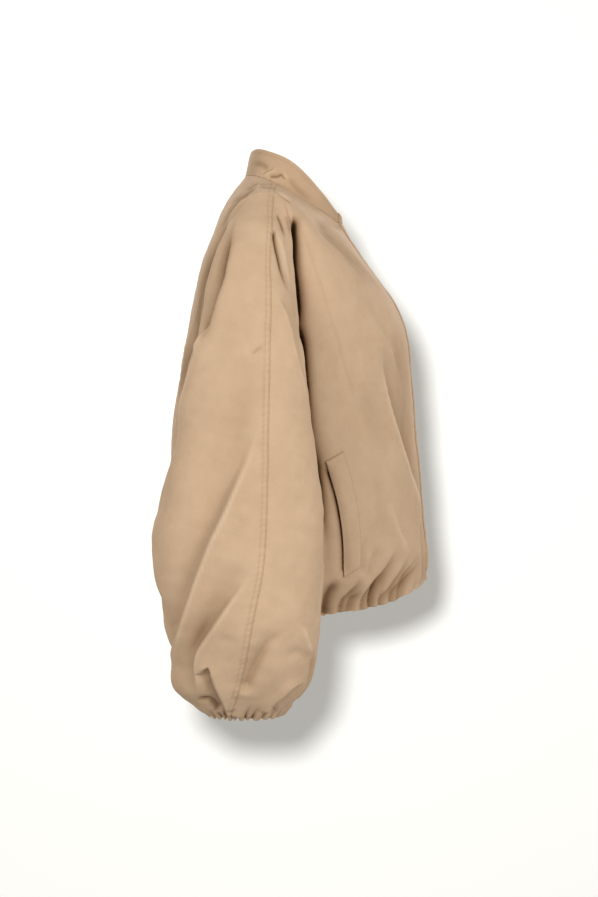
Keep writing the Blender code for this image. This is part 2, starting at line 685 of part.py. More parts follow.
def build_jacket():
    """Every cut piece, in sewing order."""
    body_panel("front_right", -1, right_edge_turn, 0.0, right_front_turns)
    body_panel("front_left", 1, left_edge_turn, 1.0, left_front_turns)
    body_panel("back", 0, None, 0.0, back_turns)
    collar_piece()
    for side, word in ((-1, "right"), (1, "left")):
        sleeve_panel(f"sleeve_{word}_front", side, True)
        sleeve_panel(f"sleeve_{word}_back", side, False)
        welt_piece(f"pocket_welt_{word}", side)


clear_scene()
build_jacket()
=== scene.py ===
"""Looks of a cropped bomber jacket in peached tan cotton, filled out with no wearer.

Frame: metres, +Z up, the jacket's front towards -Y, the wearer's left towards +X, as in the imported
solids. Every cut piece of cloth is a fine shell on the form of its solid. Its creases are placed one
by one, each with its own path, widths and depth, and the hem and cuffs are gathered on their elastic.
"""

from __future__ import annotations

import logging
import math
from collections.abc import Callable
from dataclasses import dataclass
from enum import Enum

import bpy
import numpy as np
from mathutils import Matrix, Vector


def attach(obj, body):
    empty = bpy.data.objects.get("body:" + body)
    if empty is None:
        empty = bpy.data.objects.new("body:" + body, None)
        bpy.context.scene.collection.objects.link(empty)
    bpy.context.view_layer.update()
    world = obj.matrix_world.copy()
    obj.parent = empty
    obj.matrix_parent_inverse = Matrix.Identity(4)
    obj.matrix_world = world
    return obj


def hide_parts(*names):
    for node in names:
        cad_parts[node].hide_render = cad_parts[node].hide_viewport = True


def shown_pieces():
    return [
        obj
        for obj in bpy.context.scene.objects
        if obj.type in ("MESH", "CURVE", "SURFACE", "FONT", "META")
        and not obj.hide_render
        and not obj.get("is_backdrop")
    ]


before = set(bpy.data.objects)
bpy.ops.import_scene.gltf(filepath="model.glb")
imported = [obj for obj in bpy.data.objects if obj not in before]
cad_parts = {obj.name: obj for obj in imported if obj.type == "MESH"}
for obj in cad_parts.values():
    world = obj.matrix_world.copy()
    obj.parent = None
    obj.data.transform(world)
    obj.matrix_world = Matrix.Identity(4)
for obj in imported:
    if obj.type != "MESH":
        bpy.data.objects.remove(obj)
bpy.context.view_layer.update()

log = logging.getLogger("jacket")
MM = 0.001
THREAD_LIFT = 0.05 * MM
Points = np.ndarray
Socket = bpy.types.NodeSocket
Place = tuple[float, float, float]


# ---------------------------------------------------------------- curves and tables
def smooth_step(value: Points) -> Points:
    """0 below 0, 1 above 1 and a smooth rise between."""
    share = np.clip(value, 0.0, 1.0)
    return share * share * (3.0 - 2.0 * share)


def unit(vectors: Points) -> Points:
    """Vectors scaled to length 1."""
    return vectors / np.maximum(np.linalg.norm(vectors, axis=-1, keepdims=True), 1e-12)


def bell(value: Points, power: float = 2) -> Points:
    """1 at 0, and a smooth fall to 0 on both sides."""
    return np.exp(-(value**power))


def groove(distance: Points, place: float, depth: float, width: float) -> Points:
    """Depth of a soft groove at a set distance, from sizes in millimetres."""
    return depth * MM * bell((distance - place * MM) / (width * MM))


def smooth_through(knots: Points, values: Points, at: Points) -> Points:
    """Cubic curve through values at uneven knots.

    Args:
        knots: Places of the values, rising.
        values: One value or one array of values for each knot.
        at: Places to read, within the knots.

    Returns:
        The curve at each place, one row a place where the values are arrays.
    """
    at = np.clip(at, knots[0], knots[-1])
    gaps = np.diff(knots)
    wide = (-1,) + (1,) * (values.ndim - 1)
    slopes = np.diff(values, axis=0) / gaps.reshape(wide)
    before, after = gaps[:-1].reshape(wide), gaps[1:].reshape(wide)
    middle = (slopes[:-1] * after + slopes[1:] * before) / (before + after)
    tangents = np.concatenate([slopes[:1], middle, slopes[-1:]])
    low = np.clip(np.searchsorted(knots, at, side="right") - 1, 0, len(knots) - 2)
    width = gaps[low].reshape(wide)
    t = ((at - knots[low]) / gaps[low]).reshape(wide)
    start = (1 + 2 * t) * (1 - t) ** 2 * values[low] + t * (1 - t) ** 2 * width * tangents[low]
    end = t * t * (3 - 2 * t) * values[low + 1] + t * t * (t - 1) * width * tangents[low + 1]
    return start + end


def graded(count: int, low_dense: float = 0.0, high_dense: float = 0.0, reach: float = 0.05) -> Points:
    """Shares from 0 to 1 that stand closer together near the ends.

    Args:
        count: Number of steps.
        low_dense: How much closer they stand at 0.
        high_dense: How much closer they stand at 1.
        reach: Share of the length over which that fades.

    Returns:
        The shares, one more than the steps.
    """
    fine = np.linspace(0, 1, 2001)
    near_low = low_dense * bell(fine / reach)
    near_high = high_dense * bell((1 - fine) / reach)
    total = np.concatenate([[0], np.cumsum((1 + near_low + near_high)[:-1])])
    return np.interp(np.linspace(0, 1, count + 1), total / total[-1], fine)


@dataclass(frozen=True)
class Sections:
    """Stations of a form, a row each, in named columns."""

    columns: str
    rows: tuple[tuple[float, ...], ...]

    def column(self, name: str) -> Points:
        """The numbers of one column."""
        return np.array([row[self.columns.split().index(name)] for row in self.rows])

    def at(self, name: str, down: Points) -> Points:
        """A column read smoothly at any places down the form.

        Args:
            name: The column.
            down: Places, 0 at the top row and 1 at the last.

        Returns:
            The values, in the shape of the places.
        """
        values = self.column(name)
        if len(values) == 1:
            return np.full(down.shape, values[0])
        return smooth_through(self.column("down"), values, down.ravel()).reshape(down.shape)

    def oval(self, turn: Points, down: Points) -> Points:
        """Points of a squared oval whose front, side and back come from the table.

        Args:
            turn: Degrees from the centre front, + to the wearer's left.
            down: Places down the form.

        Returns:
            The points, with their three coordinates last.
        """
        cosine, sine = np.cos(np.radians(turn)), np.sin(np.radians(turn))
        square = self.at("square", down)
        reach = (np.abs(cosine) ** square + np.abs(sine) ** square) ** (-1.0 / square)
        ahead, across = reach * cosine, reach * sine
        found = [self.at("side_x", down) * across]
        for axis in "yz":
            front, side = self.at("front_" + axis, down), self.at("side_" + axis, down)
            back = self.at("back_" + axis, down)
            middle, swing = (front + back) / 2, (front - back) / 2
            found.append(side * (1 - ahead**2) + middle * ahead**2 + swing * ahead)
        return np.stack(found, axis=-1)


OVAL_COLUMNS = "down front_y front_z side_x side_y side_z back_y back_z square"
BODY = Sections(
    OVAL_COLUMNS,
    (
        (0.00, -0.0850, -0.0570, 0.078, 0.011, 0.0025, 0.0620, 0.0170, 2.00),
        (0.08, -0.1050, -0.0880, 0.120, 0.013, -0.0060, 0.0830, -0.0130, 2.00),
        (0.16, -0.1290, -0.1220, 0.168, 0.015, -0.0180, 0.0990, -0.0470, 2.10),
        (0.22, -0.1480, -0.1480, 0.205, 0.020, -0.0400, 0.1095, -0.0750, 2.20),
        (0.28, -0.1625, -0.1680, 0.224, 0.030, -0.0850, 0.1190, -0.1000, 2.30),
        (0.40, -0.1840, -0.2150, 0.234, 0.035, -0.1650, 0.1360, -0.1650, 2.40),
        (0.55, -0.1945, -0.2950, 0.236, 0.030, -0.2800, 0.1580, -0.2750, 2.40),
        (0.70, -0.2030, -0.4000, 0.230, 0.015, -0.4000, 0.1750, -0.4000, 2.30),
        (0.85, -0.2135, -0.5100, 0.214, -0.010, -0.5200, 0.1680, -0.5150, 2.20),
        (0.95, -0.2195, -0.5750, 0.200, -0.035, -0.6000, 0.1350, -0.5900, 2.10),
        (1.00, -0.2160, -0.6100, 0.186, -0.045, -0.6350, 0.1120, -0.6240, 2.05),
    ),
)
COLLAR_TOP = Sections(
    OVAL_COLUMNS, ((0.0, -0.0845, -0.0460, 0.068, -0.0090, 0.0400, 0.0511, 0.0570, 2.00),)
)
SLEEVE = Sections(
    "down outer_x outer_z inner_x inner_z front_y back_y seam_turn",
    (
        (0.08, -0.240, -0.068, -0.241, -0.3000, -0.0240, 0.1130, 23.0),
        (0.17, -0.294, -0.147, -0.245, -0.3350, -0.0270, 0.1220, 23.7),
        (0.29, -0.332, -0.237, -0.250, -0.3800, -0.0357, 0.1400, 22.4),
        (0.42, -0.363, -0.342, -0.253, -0.4300, -0.0447, 0.1590, 21.1),
        (0.55, -0.388, -0.442, -0.254, -0.4900, -0.0550, 0.1790, 20.0),
        (0.68, -0.403, -0.542, -0.252, -0.5550, -0.0594, 0.1850, 17.0),
        (0.79, -0.405, -0.622, -0.253, -0.6200, -0.0530, 0.1690, 8.0),
        (0.88, -0.393, -0.682, -0.262, -0.6750, -0.0450, 0.1550, 1.0),
        (0.94, -0.374, -0.727, -0.272, -0.7180, -0.0300, 0.1500, -3.0),
        (0.98, -0.353, -0.752, -0.279, -0.7460, -0.0120, 0.1260, -13.0),
        (1.00, -0.341, -0.7600, -0.283, -0.7565, -0.0020, 0.1090, -18.0),
    ),
)


# ---------------------------------------------------------------- creases
class View(Enum):
    """Where a crease is drawn from: the two coordinates of its path and the way its side faces."""

    OUTER = (1, 2, "outward")
    INNER = (1, 2, "inward")
    BACK = (0, 2, "backward")
    FRONT = (0, 2, "forward")


class Profile(Enum):
    """Cut across a crease."""

    TROUGH = "round trough"
    VALLEY = "trough that comes to a line"
    RIDGE = "ridge that comes to a line"
    STEP = "cloth that lies over cloth, low on the plus side"


@dataclass(frozen=True)
class Crease:
    """One crease, in millimetres.

    Attributes:
        name: What a maker would call it.
        view: Where its path is drawn from.
        profile: Its cut.
        path: Its line, as pairs of sideways and Z with a comma between.
        plus: Width on its plus side, which is +sideways where the path runs down.
        minus: Width on the other side.
        depth: How far it sinks, or stands out where it is a ridge.
        fade_in: Share of its length that it takes to start.
        fade_out: Share of its length that it takes to end.
        flare: How much wider it ends than it starts.
        light: How much its crest is lightened, partly as wear and partly as a painted highlight.
        painted_shade: How strong the painted shade down in its fold is.
        lip: Width over which a step falls.
        hang: How far a step's crest hangs over, as a share of its depth.
    """

    name: str
    view: View
    profile: Profile
    path: str
    plus: float
    minus: float
    depth: float
    fade_in: float = 0.3
    fade_out: float = 0.3
    flare: float = 1.0
    light: float = 0.0
    painted_shade: float = 0.0
    lip: float = 5.0
    hang: float = 0.32

    def line(self, drop: float, mirror: float = 1.0) -> tuple[Points, Points]:
        """A smooth line through the path.

        Args:
            drop: How far the line is moved up, in metres.
            mirror: -1 to turn the path over to the other side of the jacket.

        Returns:
            The line's points and its share of length at each, both finely spaced.
        """
        knots = np.array([pair.split(",") for pair in self.path.split()], float) * MM
        knots[:, 0] *= mirror
        knots[:, 1] += drop
        run = np.concatenate([[0], np.cumsum(np.linalg.norm(np.diff(knots, axis=0), axis=1))])
        share = np.linspace(0, 1, 4 * len(knots) + 5)
        if len(knots) == 2:
            return knots[0] + (knots[1] - knots[0]) * share[:, None], share
        return smooth_through(run, knots, share * run[-1]), share

    def height(self, aside: Points, widen: Points) -> tuple[Points, Points, Points]:
        """The cut across the crease.

        Args:
            aside: Distance from the line, + on the plus side, in metres.
            widen: Local factor on the widths.

        Returns:
            Height over the plain cloth, push towards the plus side, the crest's wear and painted
            highlight, and the painted shade in the fold.
        """
        width = np.where(aside > 0, self.plus, self.minus) * MM * widen
        near = np.abs(aside) / width
        deep = self.depth * MM
        still = np.zeros_like(aside)
        line = bell(aside / (2.2 * MM))
        if self.profile is Profile.TROUGH:
            return -deep * bell(near), still, still, bell(near)
        if self.profile is Profile.VALLEY:
            return -deep * bell(near, 1.3), still, still, bell(near, 1.6)
        if self.profile is Profile.RIDGE:
            return deep * bell(near, 1.4), still, line, still
        lip = self.lip * MM * widen
        crest = 0.38 * deep
        fall = smooth_step(aside / lip)
        low = -(deep - crest) * bell(np.maximum(aside - lip, 0) / width)
        rise = np.where(aside > 0, crest * (1 - fall) + low * fall, crest * bell(near))
        push = self.hang * deep * bell((aside - 0.15 * lip) / (0.9 * lip))
        shade = bell(np.abs(aside - 0.8 * lip) / (0.45 * width + 0.5 * lip))
        shade = shade * smooth_step((aside + 1.4 * MM) / (2.2 * MM))
        return rise, push, bell((aside + 0.8 * MM) / (2.2 * MM)), shade


@dataclass
class Relief:
    """What the creases do to a form: height and push in metres; from -1 to 1, crest wear with painted
    highlight above 0 and painted shade below.
    """

    height: Points
    push: Points
    wear_and_painted_light: Points


@dataclass(frozen=True)
class CreaseBook:
    """All the creases of one sub-assembly.

    Attributes:
        creases: The creases, as they lie on the wearer's right.
        seed: Seed of the small differences on the left.
        drop: How far the left side's creases are moved up, in millimetres.
        share: How deep the left side's creases are beside the right's.
    """

    creases: tuple[Crease, ...]
    seed: int = 5
    drop: float = -16.0
    share: float = 0.85

    def relief(self, points: Points, normals: Points, sides: tuple[int, ...]) -> Relief:
        """Sum of the creases over a form.

        Args:
            points: Points of the form, coordinates last.
            normals: Their outward normals.
            sides: -1 for the wearer's right, +1 for the left.

        Returns:
            The relief, in the shape of the points.
        """
        shape = points.shape[:-1]
        flat, facing_way = points.reshape(-1, 3), normals.reshape(-1, 3)
        height, push, wear_and_painted_light = np.zeros(len(flat)), np.zeros((len(flat), 3)), np.zeros(len(flat))
        chance = np.random.default_rng(self.seed)
        for crease in self.creases:
            wander = chance.uniform(-1, 1, 3)
            for side in sides:
                across, up, way = crease.view.value
                left = side > 0 and across == 1
                if across == 0 and side > 0 and len(sides) > 1:
                    continue
                turned = {"outward": side, "inward": -side}.get(way, -1 if way == "forward" else 1)
                facing = smooth_step(facing_way[:, 0 if across == 1 else 1] * turned / 0.35)
                drop = (self.drop + 9 * wander[0]) * MM if left else 0.0
                deeper = self.share + 0.15 * wander[1] if left else 1.0
                mirror = -1.0 if across == 0 and side > 0 and len(sides) == 1 else 1.0
                line, share = crease.line(drop, mirror)
                widest = 3 * max(crease.plus, crease.minus) * MM * max(1.0, crease.flare)
                seen = flat[:, (across, up)]
                inside = np.all((seen > line.min(0) - widest) & (seen < line.max(0) + widest), axis=1)
                chosen = np.where(inside & (facing > 0))[0]
                if not len(chosen):
                    continue
                along, aside, plus_way = nearest_on(line, share, seen[chosen])
                ends = smooth_step(along / crease.fade_in) * smooth_step((1 - along) / crease.fade_out)
                widen = 1 + (crease.flare - 1) * np.clip(along, 0, 1)
                rise, slide, rub_and_highlight, shade = crease.height(aside * mirror, widen)
                slide = slide * mirror
                weight = ends * facing[chosen] * deeper
                height[chosen] += rise * weight
                # The crest is lightened partly for wear and partly as a painted highlight; the shade taken
                # off is painted shade in the fold.
                wear_and_painted_light[chosen] += (rub_and_highlight * crease.light - shade * crease.painted_shade) * weight
                push[chosen, across] += slide * weight * plus_way[:, 0]
                push[chosen, up] += slide * weight * plus_way[:, 1]
        push -= facing_way * np.sum(push * facing_way, axis=1, keepdims=True)
        wear_and_painted_light = np.clip(wear_and_painted_light, -1, 1)
        return Relief(height.reshape(shape), push.reshape(shape + (3,)), wear_and_painted_light.reshape(shape))


def nearest_on(line: Points, share: Points, places: Points) -> tuple[Points, Points, Points]:
    """Where flat places lie beside a line.

    Args:
        line: The line's points.
        share: Share of length at each of them.
        places: The places.

    Returns:
        Share along the line (outside 0 to 1 past its ends), signed distance, and the plus way.
    """
    best = np.full(len(places), np.inf)
    along, aside, plus_way = np.zeros(len(places)), np.zeros(len(places)), np.zeros((len(places), 2))
    last = len(line) - 2
    for index in range(len(line) - 1):
        start, run = line[index], line[index + 1] - line[index]
        length = np.linalg.norm(run)
        part = (places - start) @ run / length**2
        low = -np.inf if index == 0 else 0.0
        high = np.inf if index == last else 1.0
        held = np.clip(part, low, high)
        away = places - start - held[:, None] * run
        distance = np.linalg.norm(away, axis=1) + 1e3 * np.maximum(np.maximum(-part - 3, part - 4), 0)
        closer = distance < best
        way = np.array([-run[1], run[0]]) / length
        best[closer] = distance[closer]
        sign = np.sign((places - start)[closer] @ way)
        aside[closer] = np.linalg.norm(away[closer], axis=1) * np.where(sign == 0, 1, sign)
        along[closer] = share[index] + held[closer] * (share[index + 1] - share[index])
        plus_way[closer] = way
    return along, aside, plus_way


TROUGH, VALLEY, RIDGE, STEP = Profile.TROUGH, Profile.VALLEY, Profile.RIDGE, Profile.STEP
OUTER, INNER, BACK, FRONT = View.OUTER, View.INNER, View.BACK, View.FRONT

SLEEVE_CREASES = CreaseBook((
    Crease("back armhole hollow", OUTER, VALLEY, "72,-54 77,-84 82,-112 88,-142 98,-178 108,-212 114,-238",
        7, 4, 18, 0.35, 0.2, painted_shade=0.22),
    Crease("back armhole fold", OUTER, STEP, "71,-66 76,-84 81,-104 86,-136 95,-168 106,-200 116,-232 "
        "121,-250", 9, 18, 17, 0.3, 0.2, light=0.8, painted_shade=0.80, lip=2.2, hang=0.2),
    Crease("back strip fold", OUTER, STEP, "110,-214 117,-238 126,-268 135,-297 144,-326 152,-360",
        15, 16, 13, 0.2, 0.3, light=0.8, painted_shade=0.35, lip=2.5, hang=0.3),
    Crease("armhole ridge", OUTER, STEP, "52,-30 76,-61 91,-83 103,-106 112,-136 118,-166 121,-192 "
        "120,-222 120,-248 122,-272", 14, 9, 11, 0.25, 0.24, light=0.6, painted_shade=0.75, lip=2.2),
    Crease("front edge drawn back", FRONT, TROUGH, "-236,-78 -246,-120 -254,-165 -262,-215 -268,-262",
        20, 22, 7.5, 0.3, 0.35),
    Crease("elbow nick", OUTER, VALLEY, "46,-249 40,-246.5 34,-242 26,-240", 2.2, 1.8, 0.9, painted_shade=0.3),
    Crease("upper hollow", OUTER, TROUGH, "43,-240 53,-299 66,-341 76,-375 93,-408 106,-440",
        26, 22, 7, 0.35, 0.4, painted_shade=0.10),
    Crease("elbow fold", OUTER, STEP, "34,-350 39,-369 48,-397 59,-422 67,-440 82,-475 98,-508 109,-535 "
        "121,-567 132,-600 141,-626 150,-656 157,-684",
        42, 22, 13, 0.33, 0.14, 0.8, light=1.0, painted_shade=0.16, lip=12.0, hang=0.05),
    Crease("forearm trough", OUTER, VALLEY, "38,-529 56,-536 68,-550 84,-573 98,-598 109,-618 118,-636 "
        "127,-653 137,-669 145,-684", 12, 9, 11, 0.7, 0.3, 1.3, painted_shade=0.24),
    Crease("forearm ridge", OUTER, STEP, "42,-546 53,-564 70,-587 84,-608 97,-628 109,-645 118,-660 "
        "120,-676 119,-704 119,-727", 15, 14, 9, 0.35, 0.2, light=1.0, painted_shade=0.20, lip=6.0, hang=0.1),
    Crease("soft dent", OUTER, TROUGH, "92,-638 74,-639 58,-643", 7, 7, 1.5, 0.4, 0.4, painted_shade=0.05),
    Crease("cuff fold", OUTER, STEP, "104,-674 97,-683 90.5,-703 84,-720 77,-739 74,-748",
        15, 9, 13, 0.25, 0.1, 0.8, light=0.7, painted_shade=0.48, lip=4.5),
    Crease("cuff fold arm", OUTER, STEP, "121,-690 117,-688 110,-681 102,-676",
        9, 5, 5, 0.3, 0.25, light=0.4, painted_shade=0.22, lip=2.5),
    Crease("cuff left roll", OUTER, VALLEY, "121,-735 114,-731 105,-730 97,-738 90,-750",
        3.5, 4.5, 7.5, 0.25, 0.1, painted_shade=0.5),
    Crease("cuff trough", OUTER, VALLEY, "-10,-620 4,-632 17,-643 30,-665 39,-683 50,-709 53,-722",
        12, 6, 10, 0.6, 0.15, painted_shade=0.22),
    Crease("cuff shade", OUTER, TROUGH, "3,-673 -18,-660 -42,-676", 8, 8, 2.6, 0.4, 0.25, painted_shade=0.06),
    Crease("front light ridge", OUTER, RIDGE, "-28,-622 -29,-630 -34,-648 -42,-670", 6, 6, 3.2, light=0.8),
    Crease("cuff right roll", OUTER, STEP, "24,-754 17,-738 1,-723 -13,-709 -31,-706",
        9, 8, 12, 0.1, 0.3, light=0.4, painted_shade=0.40, lip=2.5),
    Crease("front armhole nick", OUTER, VALLEY, "14.5,-74 13,-88 9,-101 3,-118 -2,-136 -6,-153 -11,-172",
        2.4, 2.2, 4.5, 0.06, 0.55, 1.2, painted_shade=0.80),
    Crease("front edge ridge", OUTER, RIDGE, "11.5,-76 4,-93 -3,-110 -9,-128 -14,-151 -16,-175",
        4, 5, 2.6, 0.2, 0.4, light=0.9),
    Crease("upper nick", OUTER, VALLEY, "10,-48 6,-60 2,-74 -2,-90", 2.0, 2.0, 3.0, 0.15, 0.5, painted_shade=0.65),
    Crease("front nick", OUTER, VALLEY, "-2,-50 -6,-62 -10,-84", 2.0, 2.0, 3.2, 0.15, 0.5, painted_shade=0.7),
    Crease("third nick", OUTER, VALLEY, "-8,-52 -11,-60 -14,-74", 1.8, 1.8, 2.4, 0.15, 0.5, painted_shade=0.4),
    Crease("front roll", OUTER, STEP, "-42,-345 -34,-315 -25,-280 -17,-248 -8,-214 2,-184 11,-166",
        14, 12, 6, 0.35, 0.2, light=0.4, painted_shade=0.10, lip=5.0, hang=0.15),
    Crease("back edge nick", OUTER, VALLEY, "177,-505 176,-528 174,-552", 2.5, 2.5, 0.8),
    Crease("back tuck", OUTER, VALLEY, "166,-634 162,-631 154,-624 146,-618", 4, 3, 1.4),
    Crease("inner elbow", INNER, VALLEY, "30,-400 66,-440 96,-484 125,-520",
        20, 14, 9, 0.35, 0.35, light=0.4),
    Crease("inner forearm", INNER, STEP, "-10,-520 24,-560 52,-606 85,-655", 18, 14, 9, light=0.4),
    Crease("inner upper", INNER, TROUGH, "60,-310 44,-370 20,-440", 14, 18, 6, 0.3, 0.4),
    Crease("inner cuff fold", INNER, STEP, "96,-660 80,-695 70,-745", 12, 9, 9, 0.25, 0.1, light=0.3),
    Crease("inner cuff trough", INNER, VALLEY, "10,-640 26,-690 34,-740", 10, 12, 8, 0.3, 0.1),
    Crease("back of elbow", BACK, TROUGH, "-300,-330 -322,-420 -340,-500", 16, 22, 7, painted_shade=0.12),
    Crease("back of forearm", BACK, VALLEY, "-272,-470 -318,-560 -348,-640",
        16, 12, 9, 0.3, 0.3, 1.2, light=0.4, painted_shade=0.14),
    Crease("back cuff fold", BACK, STEP, "-345,-650 -330,-700 -316,-745", 12, 12, 9, 0.3, 0.15, light=0.3),
    Crease("front of forearm", FRONT, VALLEY, "-296,-450 -326,-545 -356,-630", 12, 18, 7, 0.35, 0.3),
    Crease("front cuff fold", FRONT, STEP, "-308,-745 -322,-705 -346,-655", 12, 12, 8, 0.15, 0.3),
))
